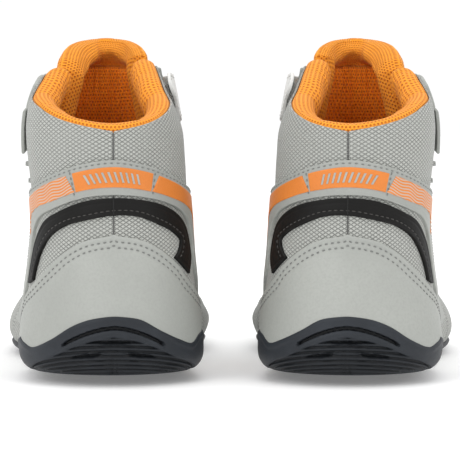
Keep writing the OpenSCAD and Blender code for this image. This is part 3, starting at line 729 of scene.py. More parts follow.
def lace_look(name, base):
    """Flat braided cord: two sets of strands crossing on the slant."""
    k = Look(name, 0.7, 0.3, 0.25)
    x, y = k.skin()
    a = k.op("PINGPONG", k.add(k.op("DIVIDE", x, 1.3), k.mul(y, 0.55)), 0.5)
    b = k.op("PINGPONG", k.op("SUBTRACT", k.op("DIVIDE", x, 1.3), k.mul(y, 0.55)), 0.5)
    over = k.op("MAXIMUM", k.span(a, 0.1, 0.45), k.span(b, 0.1, 0.45))
    tone = k.mix(over, shade(base, 0.5), shade(base, 1.05))
    k.colour(tone)
    k.bump(k.add(over, k.mul(k.noise(3000, 2), 0.2)), 0.35)
    return k.m


def thread_look(name, base):
    k = Look(name, 0.6, 0.35, 0.2)
    x, y = k.skin()
    twist = k.op("PINGPONG", k.mul(k.add(x, k.mul(y, 1.5)), 2.6), 0.5)
    k.colour(k.mix(k.span(twist, 0, 0.5), shade(base, 0.7), shade(base, 1.1)))
    k.bump(twist, 0.1)
    return k.m


def fuzzy_look(name, base, size=1300.0, depth=0.8):
    k = Look(name, 0.9, 0.15, 0.5)
    a = k.noise(size, 4)
    b = k.cells(size * 0.6)
    k.colour(k.mix(k.span(k.add(k.mul(a, 0.6), k.mul(b, 0.5)), 0.3, 0.8),
                   shade(base, 0.45), shade(base, 1.3)))
    k.bump(k.add(a, b), depth)
    return k.m


def foam_look(name, base):
    k = Look(name, 0.7, 0.3)
    skin = k.noise(700, 4)
    pores = k.cells(1800)
    k.colour(k.mix(k.span(k.noise(30, 3), 0.3, 0.7), shade(base, 0.9), shade(base, 1.04)))
    k.bump(k.add(skin, k.mul(pores, 0.5)), 0.12)
    return k.m


def board_look(name, base):
    k = Look(name, 0.85, 0.2)
    fibre = k.noise(900, 5)
    k.colour(k.mix(k.span(fibre, 0.3, 0.7), shade(base, 0.75), shade(base, 1.1)))
    k.bump(fibre, 0.15)
    return k.m


def wave_print(name, base, line):
    """Orange synthetic printed with fine wavy grey lines."""
    k = Look(name, 0.5, 0.4)
    x, y = k.skin()
    bend = k.op("SINE", k.mul(x, 0.55))
    v = k.op("DIVIDE", k.add(k.add(y, k.mul(x, 0.35)), k.mul(bend, 0.6)), 1.6)
    mask = k.span(k.op("PINGPONG", v, 0.5), 0.18, 0.3, 1, 0)
    fine = k.noise(1200, 2)
    tone = k.mix(k.span(k.noise(30, 3), 0.3, 0.7), shade(base, 0.92), shade(base, 1.05))
    k.colour(k.mix(k.mul(mask, 0.7), tone, line))
    k.bump(k.add(fine, k.mul(mask, 0.8)), 0.08)
    return k.m


GREY = (0.355, 0.366, 0.342)
GREY_MESH = (0.485, 0.495, 0.463)
ORANGE = (0.68, 0.205, 0.032)
KNIT = (0.95, 0.35, 0.03)
mat = {
    # the third colour is the painted shade in the gaps of the weave
    "mesh": woven_mesh("woven_mesh_grey", GREY_MESH, (0.215, 0.22, 0.205)),
    "grey": synthetic("smooth_grey", GREY),
    "grey_edge": synthetic("band_grey", shade(GREY, 0.93), 1200),
    "dark": synthetic("charcoal", (0.0075, 0.0072, 0.0068), 800, 0.5, 0.05, 2.5, specular=0.16),
    "orange": synthetic("orange_satin", ORANGE, 1400, 0.45, 0.04),
    "waves": wave_print("orange_waves", ORANGE, (0.50, 0.47, 0.42)),
    # the last two colours are painted shade: in the open cells, and further inside the shoe
    "knit": spacer_knit("orange_knit", KNIT, (0.60, 0.11, 0.003), (1.0, 0.25, 0.008)),
    # a darker copy of the knit: its colours are painted shade for the inside of the shoe
    "lining": spacer_knit("orange_lining_painted_shade", (0.80, 0.16, 0.005), (0.45, 0.06, 0.002),
                          (0.75, 0.14, 0.004), 0.5),
    "rubber": rubber_look("dark_rubber", (0.0215, 0.025, 0.0305)),
    "lace": lace_look("lace_grey", (0.50, 0.51, 0.49)),
    "webbing": webbing_look("webbing_grey", (0.36, 0.37, 0.35)),
    "pocket": webbing_look("pocket_mesh", (0.38, 0.39, 0.37)),
    "strap": synthetic("strap_white", (0.74, 0.74, 0.72), 1000, 0.45, 0.05, 1.1,
                       end=(float(arc(0.63)), shade(GREY, 0.95))),
    "thread": thread_look("thread_grey", (0.20, 0.205, 0.195)),
    "thread_light": thread_look("thread_light", (0.52, 0.53, 0.50)),
    "thread_dark": thread_look("thread_dark", (0.045, 0.042, 0.038)),
    "seam": synthetic("seam_shadow", (0.13, 0.13, 0.125), 1200, 0.7),
    "seam_black": synthetic("seam_black", (0.006, 0.006, 0.006), 1200, 0.7, 0.05, 1.0),
    "hook": fuzzy_look("hook_tape", (0.40, 0.40, 0.38), 1600, 1.0),
    "loop": fuzzy_look("loop_tape", (0.34, 0.34, 0.33), 1100, 0.8),
    "insole": webbing_look("insole_fabric", (0.70, 0.20, 0.03), 1.6),
    "foam": foam_look("foam_white", (0.62, 0.62, 0.59)),
    "board": board_look("fibre_board", (0.52, 0.43, 0.30)),
    "stiff": board_look("stiffener", (0.55, 0.52, 0.42)),
    "plastic": rubber_look("shank_plastic", (0.035, 0.036, 0.038)),
}

# CAD nodes that stay as they are, inside the shoe or under the arch
for which in ("left", "right"):
    for node, look in (("arch_shank", "plastic"), ("strobel_board", "board"),
                       ("heel_counter", "stiff"), ("toe_puff", "stiff")):
        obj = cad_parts[which + "_" + node]
        if not obj.data.materials:
            obj.data.materials.append(mat[look])
        for slot in obj.material_slots:
            slot.material = mat[look]

# ------------------------------------------------------------------ rubber soles


def cup(ws, rim, relief, rows, bottom, notch=0.0):
    """A rubber cup: outer wall with relief, rolled rim, inner wall and a grooved underside."""
    n = len(ws)
    top = rim(ws)
    t = np.linspace(0, 1, rows + 1)
    # a small notch at the middle of the bottom edge
    low = notch * np.exp(-(arc(ws) / 1.6)**2)
    h = low[:, None] + t[None, :] * (top - low)[:, None]
    d, shade_at = relief(ws[:, None] + 0 * h, h, top[:, None])
    wall = at(ws[:, None] + 0 * h, h, d)
    lip_d = np.array([0.72, 0.35, -0.1, -0.5, -0.8])
    lip_h = np.array([0.38, 0.55, 0.55, 0.35, 0.0])
    reach = d[:, -1]
    lip = at(ws[:, None] + np.zeros((1, 5)), top[:, None] + lip_h[None, :] * 0.9,
             np.minimum(lip_d[None, :] * (reach[:, None] + 0.8) - 0.8 * 0.28, reach[:, None]))
    back = at(ws[:, None] + np.zeros((1, 3)),
              np.maximum(np.array([0.96, 0.5, 0.0])[None, :] * top[:, None], TREAD_T),
              np.full((n, 3), -0.8))
    grid = np.concatenate([wall, lip, back], 1)
    m = grid.shape[1]
    ids = np.arange(n * m).reshape(n, m)
    faces = np.stack([ids[:-1, :-1], ids[1:, :-1], ids[1:, 1:], ids[:-1, 1:]], -1).reshape(-1, 4)
    verts = [grid.reshape(-1, 3)]
    faces = [tuple(f) for f in faces.tolist()]
    uv = [np.stack([arc(ws)[:, None] + 0 * grid[..., 0],
                    np.concatenate([h, top[:, None] + np.arange(8)[None, :] * 0.8], 1)], -1)
          .reshape(-1, 2)]
    # underside and inside floor: chords from one side to the other
    half = n // 2
    cols = 41
    count = n * m
    for kind, j in (("under", 0), ("floor", m - 1)):
        a = grid[:half, j][::-1]
        b = grid[n - half:, j]
        f = np.linspace(0, 1, cols)[None, :, None]
        g = a[:, None] * (1 - f) + b[:, None] * f
        if kind == "under":
            g[..., 2] += bottom(g, np.minimum(f[..., 0], 1 - f[..., 0]))
        gi = np.arange(count, count + half * (cols - 2)).reshape(half, cols - 2)
        full = np.concatenate([ids[:half, j][::-1][:, None], gi, ids[n - half:, j][:, None]], 1)
        q = np.stack([full[:-1, :-1], full[1:, :-1], full[1:, 1:], full[:-1, 1:]], -1)
        q = q.reshape(-1, 4)
        if kind == "under":
            q = q[:, ::-1]
        faces += [tuple(v) for v in q.tolist()]
        verts.append(g[:, 1:-1].reshape(-1, 3))
        uv.append(g[:, 1:-1, :2].reshape(-1, 2))
        count += half * (cols - 2)
        if kind == "under":
            under = full
        else:
            floor = full
    # the closed middle, where the two halves meet, and the open end
    mid, top_mid, end_under, end_floor = (r.tolist() for r in (under[0], floor[0], under[-1],
                                                               floor[-1]))
    for i in range(cols - 1):
        faces.append((mid[i + 1], mid[i], int(ids[half, 0])))
        faces.append((top_mid[i], top_mid[i + 1], int(ids[half, -1])))
    for i in range(cols - 1):
        faces.append((end_under[i + 1], end_under[i], end_floor[i], end_floor[i + 1]))
    # end caps of the walls
    faces += [tuple(ids[0, ::-1].tolist()), tuple(ids[-1].tolist())]
    # the wall vertices' edge attribute carries the relief's painted shade; 9 elsewhere means none
    deep = np.full(count, 9.0)
    deep[ids[:, :rows + 1].ravel()] = shade_at.ravel()
    verts = np.concatenate(verts)
    verts[:, 2] = np.maximum(verts[:, 2], 0.02)
    return Shape(verts, faces, np.concatenate(uv) / 10, deep)


def heel_rim(w):
    u = np.abs(w)
    horn = 1.6 * np.exp(-np.abs(u - 0.222) / 0.012)
    return cup_h(w) + horn


def heel_relief(w, h, top):
    a = arc(w)
    base = 1.9 - 8.5 * smooth(13, -6, h)**1.6
    # arched slit below the rim
    slit = 27.2 - 7.6 * (np.abs(a) / 21.5)**1.7
    past = np.maximum(np.abs(a) - 21.5, 0)
    from_slit = np.hypot(h - slit, past)
    cut = smooth(1.0, 0.65, from_slit)
    d = base - 2.4 * cut
    d = d + 0.35 * bump_at(h, top - 1.2, 1.2)
    d = d + 0.3 * bump_at(h, slit - 2.2, 0.8) * smooth(24, 20, np.abs(a))
    # the ribbed field below the lower lip
    far = np.abs(a)
    lip = 23.4 - 8.2 * (np.minimum(far, 25) / 25)**1.5 - 0.33 * np.maximum(far - 25, 0)
    field = smooth(lip, lip - 0.9, h)
    rib = np.abs(((h + 0.0033 * a**2) / 2.1) % 1 - 0.5) * 2
    ribs = smooth(0.25, 0.75, rib)
    # lens-shaped recesses among them
    lens = 0 * d
    for ca, ch, ra, rh, tilt in ((0, 20.7, 8.5, 0.8, 0), (-11.7, 14.6, 7.0, 0.85, -0.12),
                                 (11.7, 14.6, 7.0, 0.85, 0.12), (33, 4.8, 6.5, 1.0, 0.1)):
        q = np.hypot((a - ca) / ra, (h - ch + tilt * (a - ca)) / rh)
        lens = np.maximum(lens, smooth(1.15, 0.75, q))
    d = d - field * (0.35 + 0.95 * ribs) - 1.2 * lens
    # painted shade: dark falls from 1 on the open face to 0 in the slit and lens recesses, and
    # darkens the set-back ribbed field, most in its grooves
    dark = 1 - np.maximum(np.maximum(cut, 0.95 * lens), field * (0.5 + 0.38 * ribs))
    # teeth towards the sides, and the notch at the middle of the bottom edge
    teeth = np.abs((a / 3.6) % 1 - 0.5) * 2
    d = d - 0.6 * smooth(0.35, 0.6, teeth) * smooth(6.5, 4.0, h) * smooth(24, 34, far)
    return d - 1.8 * smooth(3.6, 1.2, far + 0.7 * h), 1.2 * dark


def heel_under(g, f):
    x, y = g[..., 0], g[..., 1]
    bars = np.abs(((y + 0.35 * np.abs(x)) / 7.0) % 1 - 0.5) * 2
    inset = smooth(0.04, 0.09, f)
    return 1.5 * smooth(0.55, 0.8, bars) * inset


def fore_relief(w, h, top):
    a = arc(w)
    base = 1.6 - 0.7 * smooth(3, 0, h)
    teeth = np.abs((a / 4.2) % 1 - 0.5) * 2
    d = base - 0.6 * smooth(0.4, 0.65, teeth) * smooth(top * 0.62, top * 0.45, h)
    # 9: no painted shade on the forefoot cup
    return d + 0.25 * bump_at(h, top - 0.8, 0.7), 9 + 0 * d


def fore_under(g, f):
    x, y = g[..., 0], g[..., 1]
    ring = np.hypot(x + 6, y - 198)
    rings = np.abs((ring / 6.0) % 1 - 0.5) * 2
    bars = np.abs(((y - 0.4 * np.abs(x)) / 7.0) % 1 - 0.5) * 2
    m = smooth(27, 30, ring)
    return 1.3 * smooth(0.5, 0.8, rings * (1 - m) + bars * m) * smooth(0.03, 0.08, f)


ws = way(np.linspace(arc(-0.4), arc(0.4), 301))
ws[0], ws[-1] = -0.4, 0.4
ws[150] = 0
pair("rubber_heel", cup(ws, heel_rim, heel_relief, 90, heel_under, 2.6), mat["rubber"],
     stands=["outsole_heel"], sharp=55)
ws = np.linspace(0.6, 1.4, 281)
pair("rubber_forefoot", cup(ws, fore_cup_h, fore_relief, 16, fore_under), mat["rubber"],
     stands=["outsole_forefoot"], sharp=55)


def sole_layer(z, thick, inset, rim=1.0):
    """A flat layer of the sole that follows the whole foot, with rounded edges."""
    us = np.linspace(-1, 1, 241)[:-1]
    m = len(us)
    profile = [(0, rim), (rim * 0.4, rim * 0.3), (rim, 0)]
    steps = ([(z + up, back) for up, back in profile]
             + [(z + thick - up, back) for up, back in profile[::-1]])
    sides = [at(us, np.full_like(us, level), -inset - back) for level, back in steps]

    def closing(ring):
        """Rings that draw in towards the middle line."""
        centre = (ring + ring[(-np.arange(m)) % m]) / 2
        return [ring * (1 - k) + centre * k for k in (0.25, 0.5, 0.75, 0.93)]

    verts = np.stack(closing(sides[0])[::-1] + sides + closing(sides[-1]))
    ids = np.arange(len(verts) * m).reshape(-1, m)
    nxt = np.roll(ids, -1, axis=1)
    faces = np.stack([ids[:-1], nxt[:-1], nxt[1:], ids[1:]], -1).reshape(-1, 4).tolist()
    # the last rings are folded shut across the middle line
    for ring, flip in ((ids[0], True), (ids[-1], False)):
        r = ring.tolist()
        for i in range(m // 2):
            quad = [r[i], r[i + 1], r[(m - i - 1) % m], r[(m - i) % m]]
            quad = [v for k, v in enumerate(quad) if v not in quad[:k]]
            if len(quad) > 2:
                faces.append(quad[::-1] if flip else quad)
    flat = verts.reshape(-1, 3)
    return Shape(flat, [tuple(f) for f in faces], flat[:, :2] / 10)


pair("foam_midsole", sole_layer(4.3, 5.7, 2.4), mat["foam"], stands=["midsole"])
pair("insole_sheet", sole_layer(INSOLE_Z, 3.4, 6.7, 0.9), mat["insole"], stands=["insole"])

# ------------------------------------------------------------------ upper


def fabric(base, depth=0.25, seed=0.0, fade=8.0):
    """An outer offset that ripples a little and lies flat at the seams."""
    def run(w, h, dist):
        return base + depth * wobble(arc(w), h, seed) * smooth(0.5, fade, dist)
    return run


def stitched(base, lines, depth=0.22, seed=0.0, ripple=0.1):
    """An outer offset with a groove for each line of stitches, at given distances inside."""
    def run(w, h, dist):
        d = base + ripple * wobble(arc(w), h, seed) * smooth(1, 8, dist)
        for line in lines:
            d = d - depth * bump_at(dist, line, 0.45)
        return d
    return run


def quarter_low(w):
    return np.where(np.abs(w) < 0.66, foot_h(w), vamp_h(w) + GAP)


def quarter_out(w, h, dist):
    seam = np.abs(arc(w))
    d = 0.22 * wobble(arc(w), h) * smooth(1, 12, dist)
    return d - 0.35 * bump_at(seam, 0, 0.9) + 0.25 * bump_at(seam, 1.6, 1.0)


def quarter_shape(s):
    a, b = (0.001, 0.86) if s > 0 else (-0.86, -0.001)
    return panel(a, b, lambda w: quarter_low(w) - 0.6, collar_h, 190, 70, -MESH_T, quarter_out,
                 0.35)


pair("mesh_lateral", quarter_shape(1), mat["mesh"], stands=["quarter_lateral"])
pair("mesh_medial", quarter_shape(-1), mat["mesh"], stands=["quarter_medial"])


def vamp_out(w, h, dist):
    crease = 0.0
    for y0, k in ((178, 0.5), (186, 0.4), (170, 0.35)):
        y = skin_point(fold(w), h)[..., 1]
        crease = crease - k * bump_at(y + 0.15 * (h - 40), y0, 3.0) * smooth(0.7, 0.85, 1 - np.abs(
            np.abs(fold(w)) - 0.9))
    return 0.3 * wobble(arc(w), h, 1.0) * smooth(1, 10, dist) + crease * 0.4


pair("mesh_vamp", panel(0.6615, 1.3385, lambda w: foot_h(w) - 0.5, lambda w: vamp_h(w) - GAP, 170,
                        50, -MESH_T, vamp_out, 0.35),
     mat["mesh"], stands=["vamp"])

# the back seam: a dark line sunk between the two halves
line_h = np.linspace(64, 116, 60)


def cord_line(w, h, d, radius, sides=8):
    p = at(w, h, d)
    n = skin_normal(fold(w), h)
    t = np.gradient(p, axis=0)
    t /= np.linalg.norm(t, axis=1, keepdims=True)
    s = np.cross(n, t)
    ring = np.arange(sides) / sides * 2 * math.pi

    def shape(i):
        return (p[i] + s[i] * np.cos(ring)[:, None] * radius
                + n[i] * np.sin(ring)[:, None] * radius)
    return tube(p, sides, shape, radius * 6)


pair("back_seam", cord_line(0 * line_h, line_h, -0.3 + 0 * line_h, 0.27), mat["seam"])


def overlay_high(w):
    nub = 0.9 * np.exp(-(arc(w) / 1.6)**2)
    return side(heel_overlay_out, heel_overlay_in, eased(w, 0.04)) - 0.5 + nub


overlay = panel(-0.4, 0.4, lambda w: cup_h(w) - 0.8, overlay_high, 200, 60, -0.05,
                stitched(OVERLAY_D, (), seed=2.0), 0.6)


def overlay_lines():
    w = way(np.linspace(arc(-0.315), arc(0.315), 400))
    top = overlay_high(w)
    step = np.gradient(top) / np.gradient(arc(w))
    lean = np.sqrt(1 + step**2)
    return [(w, top - k * lean) for k in (2.6, 5.2)]


def groove(shape, lines, d, depth, width):
    """Sinks grooves for stitches: pushes vertices near the lines towards the foot."""
    pts = np.concatenate([at(w, h, d) for w, h in lines])
    nrm = np.concatenate([skin_normal(fold(w), h) for w, h in lines])
    tree = mathutils.kdtree.KDTree(len(pts))
    for i, p in enumerate(pts):
        tree.insert(p, i)
    tree.balance()
    v = shape.verts
    for i in range(len(v) // 2):
        _, j, r = tree.find(v[i])
        if r < width * 3:
            v[i] -= nrm[j] * depth * math.exp(-(r / width)**2)
    return shape


overlay = groove(overlay, overlay_lines(), 1.6, 0.3, 0.8)
pair("heel_skin", overlay, mat["grey"], stands=["heel_overlay"])
pair("heel_stitches", joined([threads(w, h, 1.42, 2.9, 1.5, 0.36) for w, h in overlay_lines()]),
     mat["thread"])

def toe_top(w):
    """Upper edge of the thin skin over the toe, in mm."""
    return 22 + 8 * np.cos(np.radians(450 * (w - 1)))


pair("toe_skin", panel(0.8, 1.2, lambda w: fore_cup_h(w) - 0.5, toe_top, 110, 26, -0.05,
                       stitched(OVERLAY_D, (2.6,), seed=3.0), 0.6),
     mat["grey"], stands=["toe_overlay"])
w = np.linspace(0.815, 1.185, 300)
pair("toe_stitches", threads(w, toe_top(w) - 2.7, 1.42, 2.8, 1.6, 0.33), mat["thread"])

# charcoal sling over the heel
sling = strip(sling_low, sling_high, 170, 16, -0.05, stitched(OVERLAY_D, (2.2,),
                                                              ripple=0.15), 0.55)
pair("sling", sling, mat["dark"], stands=["heel_sling"])


def strip_line(low, high, mm_in, s0=0.02, s1=0.98, n=400, from_low=True):
    s = np.linspace(s0, s1, n)
    a, b = np.stack(along(low, s), -1), np.stack(along(high, s), -1)
    width = np.linalg.norm(at(b[:, 0], b[:, 1]) - at(a[:, 0], a[:, 1]), axis=1)
    k = (mm_in / width if from_low else 1 - mm_in / width)[:, None]
    p = a + (b - a) * k
    return p[:, 0], p[:, 1]


pair("sling_stitches", threads(*strip_line(sling_low, sling_high, 2.2), 1.45, 2.7, 1.7, 0.27),
     mat["thread_dark"])
seam_h = np.linspace(78.4, 85.6, 16)
pair("sling_seam", cord_line(0 * seam_h, seam_h, 1.5 + 0 * seam_h, 0.35), mat["seam_black"])

# ankle band with its orange inlay
pair("band", strip(band_low, band_high, 220, 18, -0.05, stitched(OVERLAY_D, (1.3,),
                                                                 ripple=0.1), 0.55),
     mat["grey_edge"], stands=["ankle_band"])

def band_point(s, t):
    a, b = np.stack(along(band_low, s), -1), np.stack(along(band_high, s), -1)
    p = a + (b - a) * np.asarray(t)[..., None]
    return p[..., 0], p[..., 1]


INLAY_CUTS = (0.415, 0.58)


def inlay_edge(s, high):
    leg = smooth(0.12, 0.24, np.abs(s - 0.5))
    return 0.80 + 0 * leg if high else 0.22 + 0.16 * leg


def inlay(s0, s1, cols):
    def edge(high):
        def run(s):
            # the ends lean the way the seams do
            k = s0 + (s1 - s0) * s + (0.006 if high else -0.006) * np.sign(s0 + s1 - 1) * (
                abs(s0 + s1 - 1) > 0.05)
            return band_point(k, inlay_edge(k, high))
        return run
    return patch(edge(False), edge(True), cols, 12, 1.2,
                 lambda w, h, d: 2.0 + 0.06 * wobble(arc(w), h, 4.0), 0.35)


pair("inlay_centre", inlay(INLAY_CUTS[0] + 0.004, INLAY_CUTS[1] - 0.004, 70), mat["orange"],
     stands=["band_inlay"])
pair("inlay_medial", inlay(0.06, INLAY_CUTS[0] - 0.004, 90), mat["orange"])
pair("inlay_lateral", inlay(INLAY_CUTS[1] + 0.004, 0.79, 90), mat["waves"])


stitches = [threads(*strip_line(band_low, band_high, 1.4, 0.03, 0.97, 700, False), 1.48, 3.0, 1.5,
                    0.3)]
for cut in INLAY_CUTS:
    t = np.linspace(0.1, 0.9, 40)
    stitches.append(threads(*band_point(cut + 0 * t, t), 1.75, 2.4, 1.4, 0.33))
pair("band_stitches", joined(stitches), mat["thread"])

# a row of slanted raised bars on the inlay's middle
bars = []
for k in np.linspace(0.448, 0.548, 10):
    def edge(off):
        def run(s):
            return band_point(k + off + 0.007 * (s - 0.5), 0.36 + 0.30 * s)
        return run
    bars.append(patch(edge(0.0042), edge(0.0), 10, 4, 1.9, 2.3, 0.15))
pair("band_bars", joined(bars), mat["grey"])

# reinforced throat edges
for s, node in ((1, "lateral"), (-1, "medial")):
    a, b = (0.74, 0.85) if s > 0 else (-0.85, -0.74)
    pair("stay_" + node, panel(a, b, lambda w: vamp_h(w) + 1, lambda w: collar_h(w) - 1, 26, 90,
                               -0.05, stitched(OVERLAY_D, (1.8,)), 0.55),
         mat["grey"], stands=["eyestay_" + node])
    hh = np.linspace(66, 128 if s > 0 else 142, 200)
    pair("stay_stitches_" + node, joined([threads((a + k) + 0 * hh, hh, 1.45, 2.7, 1.6, 0.28)
                                          for k in (0.012, 0.098)]), mat["thread"])

ear = panel(0.4, 0.73, 126.0, lambda w: collar_h(w) - 1, 90, 12, -0.05,
            stitched(OVERLAY_D, (1.8,)), 0.55)
pair("ear_skin", ear, mat["grey"], stands=["ear_overlay"])
w = np.linspace(0.41, 0.72, 200)
pair("ear_stitches", threads(w, 127.9 + 0 * w, 1.45, 2.7, 1.6, 0.28), mat["thread"])

# linings
pair("lining_back", panel(-0.655, 0.655, INSOLE_Z, lambda w: collar_h(w) - 28, 160, 40,
                          -MESH_T - 1.8 - LINING_T, -MESH_T - 1.8, 0.5),
     mat["lining"], stands=["lining_rear"])
pair("lining_toe", panel(0.67, 1.33, INSOLE_Z, lambda w: np.minimum(vamp_h(w) - 2, 58), 120, 30,
                         -MESH_T - 1.8 - LINING_T, -MESH_T - 1.8, 0.5),
     mat["lining"], stands=["lining_front"])

# ------------------------------------------------------------------ padded collar and tongue


def swell(shape, hold, cap, pressure=16.0, frames=20):
    """Blows a closed padded form up with a cloth simulation; held vertices stay, and no vertex
    moves further than its own cap in mm."""
    mesh = bpy.data.meshes.new("swell")
    mesh.from_pydata((shape.verts / 1000).tolist(), [], shape.faces)
    obj = bpy.data.objects.new("swell", mesh)
    bpy.context.scene.collection.objects.link(obj)
    group = obj.vertex_groups.new(name="hold")
    for i in np.nonzero(hold > 0)[0]:
        group.add([int(i)], float(hold[i]), "REPLACE")
    mod = obj.modifiers.new("cloth", "CLOTH")
    s = mod.settings
    s.quality = 6
    s.mass = 0.1
    s.tension_stiffness = s.compression_stiffness = 6
    s.bending_stiffness = 0.3
    s.use_pressure = True
    s.uniform_pressure_force = pressure
    s.vertex_group_mass = "hold"
    s.effector_weights.gravity = 0
    scene = bpy.context.scene
    for f in range(1, frames + 1):
        scene.frame_set(f)
    deps = bpy.context.evaluated_depsgraph_get()
    ev = obj.evaluated_get(deps)
    co = np.empty(len(mesh.vertices) * 3, np.float32)
    ev.data.vertices.foreach_get("co", co)
    scene.frame_set(1)
    bpy.data.objects.remove(obj)
    bpy.data.meshes.remove(mesh)
    move = co.reshape(-1, 3) * 1000 - shape.verts
    far = np.linalg.norm(move, axis=1)
    print("swell: furthest", round(float(far.max()), 2), "mean", round(float(far.mean()), 2))
    scale = np.minimum(1, cap / np.maximum(far, 1e-6))
    shape.verts = shape.verts + move * scale[:, None]
    return shape


COLLAR = np.array([  # height from the mesh's top edge, offset from the skin
    [-29, -1.4], [-22, -1.4], [-15, -1.4], [-8, -1.35], [-3, -1.3], [-0.4, -1.3], [1.2, -1.6],
    [2.6, -2.6], [3.6, -4.2], [3.9, -6.0], [3.3, -7.8], [1.9, -9.3], [-0.4, -10.3], [-3.5, -10.7],
    [-8, -10.3], [-14, -9.0], [-20, -7.2], [-26, -5.6], [-29, -4.6], [-29.6, -3.0]])


def loop_smooth(points, n):
    """A closed smooth curve through points, sampled n times."""
    p = np.asarray(points, float)
    k = len(p)
    wrapped = np.concatenate([p[-2:], p, p[:3]])
    x = np.arange(-2, k + 3)
    s = np.arange(n) / n * k
    return np.stack([curve(np.stack([x, wrapped[:, i]], 1), s) for i in (0, 1)], 1)


def collar_shape(n=220, m=56):
    prof = loop_smooth(COLLAR, m)
    ws = way(np.linspace(arc(-0.76), arc(0.66), n))
    end = np.minimum(np.arange(n), np.arange(n)[::-1]) / 6.0
    squeeze = np.sqrt(np.clip(1 - (1 - np.minimum(end, 1))**2, 0.02, 1))
    top = collar_h(eased(ws, 0.05)) + 0.4
    mid = np.array([-12.0, -4.5])
    p = mid[None, None] + (prof[None] - mid) * squeeze[:, None, None]
    h = top[:, None] + p[..., 0]
    d = p[..., 1]
    # fuller and a little uneven, like foam under cloth
    a = arc(ws)[:, None]
    inner = smooth(-3, -9, d)
    d = d - inner * (0.5 * wobble(a, h, 5.0)) + np.minimum(d + 1.6, 0) * 0.34 * smooth(
        12, 45, np.abs(a))
    v = at(ws[:, None] + 0 * h, h, d)
    ids = np.arange(n * m).reshape(n, m)
    nxt = np.roll(ids, -1, axis=1)
    faces = np.stack([ids[:-1], ids[1:], nxt[1:], nxt[:-1]], -1).reshape(-1, 4).tolist()
    faces.append(ids[0].tolist())
    faces.append(ids[-1][::-1].tolist())
    run = np.concatenate([[0], np.cumsum(np.linalg.norm(np.diff(prof, axis=0), axis=1))])
    uv = np.stack([shaft_arc(ws)[:, None] + 0 * h, run[None] + 0 * h], -1) / 10
    # edge attribute: how deep inside the shoe and how far below the rim; it drives the knit's
    # painted shade
    inside = smooth(-4, -8, d) * np.maximum(-p[..., 0] - 1, 0)
    s = Shape(v.reshape(-1, 3), [tuple(f) for f in faces], uv.reshape(-1, 2), inside.ravel())
    hold = smooth(-20, -26, np.broadcast_to(prof[None, :, 0], d.shape)).ravel()
    outer = smooth(-3.0, -1.6, d) * smooth(1.0, -1.0, np.broadcast_to(prof[None, :, 0], d.shape))
    cap = 0.1 + 1.7 * (1 - outer.ravel())
    return swell(s, np.maximum(hold, outer.ravel()), cap)


pair("collar_roll", collar_shape(), mat["knit"], stands=["collar_padding"],
     sharp=180)


def tongue_shape():
    crest = [[0.72, 146], [0.76, 151.5], [0.82, 156.5], [0.9, 159.2], [1, 160], [1.1, 159.3],
             [1.18, 156], [1.22, 152]]
    lo, hi = 61.0, lambda w: curve(crest, w)
    a, b = 0.72, 1.22

    def inner(w, h, dist):
        thick = 5.0 * (0.6 + 0.4 * (h - 61) / 100)
        wide = smooth(1.02, 0.9, w)
        roll = (4.4 + 4.0 * wide) * bump_at(dist, 6.5, 5.5 + wide) * smooth(70, 110, h)
        valley = 2.0 * bump_at(dist, 15.5, 2.2) * smooth(70, 110, h)
        rib = 0.45 * np.cos(shaft_arc(w) / 4.6 * 2 * math.pi) * smooth(16, 19, dist)
        return -2.9 - thick - roll + valley - rib

    def outer(w, h, dist):
        return -2.9 + 1.4 * smooth(0, 8, dist) * smooth(140, 150, h)

    s = panel(a, b, lo, hi, 110, 100, inner, outer, 2.6, run=shaft_arc)
    n = len(s.verts)
    hold = smooth(95, 75, s.verts[:, 2])
    cap = np.where(np.arange(n) < n // 2, 0.8, 1.8)
    # rows of knit cells follow the rim over the roll, and lie level further in
    w = np.interp(s.uv[:, 0] * 10, SHAFT_GIRTH, WAYS)
    h, dist = s.verts[:, 2], s.edge
    turn = np.interp(shaft_arc(w), [shaft_arc(a) + 16, shaft_arc(b) - 16], [1, -1])
    along_rim = shaft_arc(w) + (h - 150) * turn
    x = np.linspace(0, 40, 200)
    depth = 8.4 * bump_at(x, 6.5, 6.5) - 2.0 * bump_at(x, 15.5, 2.2)
    reach = np.concatenate([[0], np.cumsum(np.hypot(np.diff(x), np.diff(depth)))])
    inside = np.arange(n) >= n // 2
    rim = np.where(inside, dist < 16, dist < 3)
    v = np.where(inside, np.interp(dist, x, reach), -6 - dist)
    s.uv = np.stack([np.where(rim, along_rim, shaft_arc(w)), np.where(rim, v, h)], 1) / 10
    # edge attribute for the knit's painted shade: none on the outer face, deepening on the inner
    # face from 7 mm in
    s.edge = np.where(np.arange(n) < n // 2, 0, np.maximum(s.edge - 7, 0))
    return swell(s, hold, cap)


pair("tongue_pad", tongue_shape(), mat["knit"], stands=["tongue"], sharp=180)

# ------------------------------------------------------------------ lacing


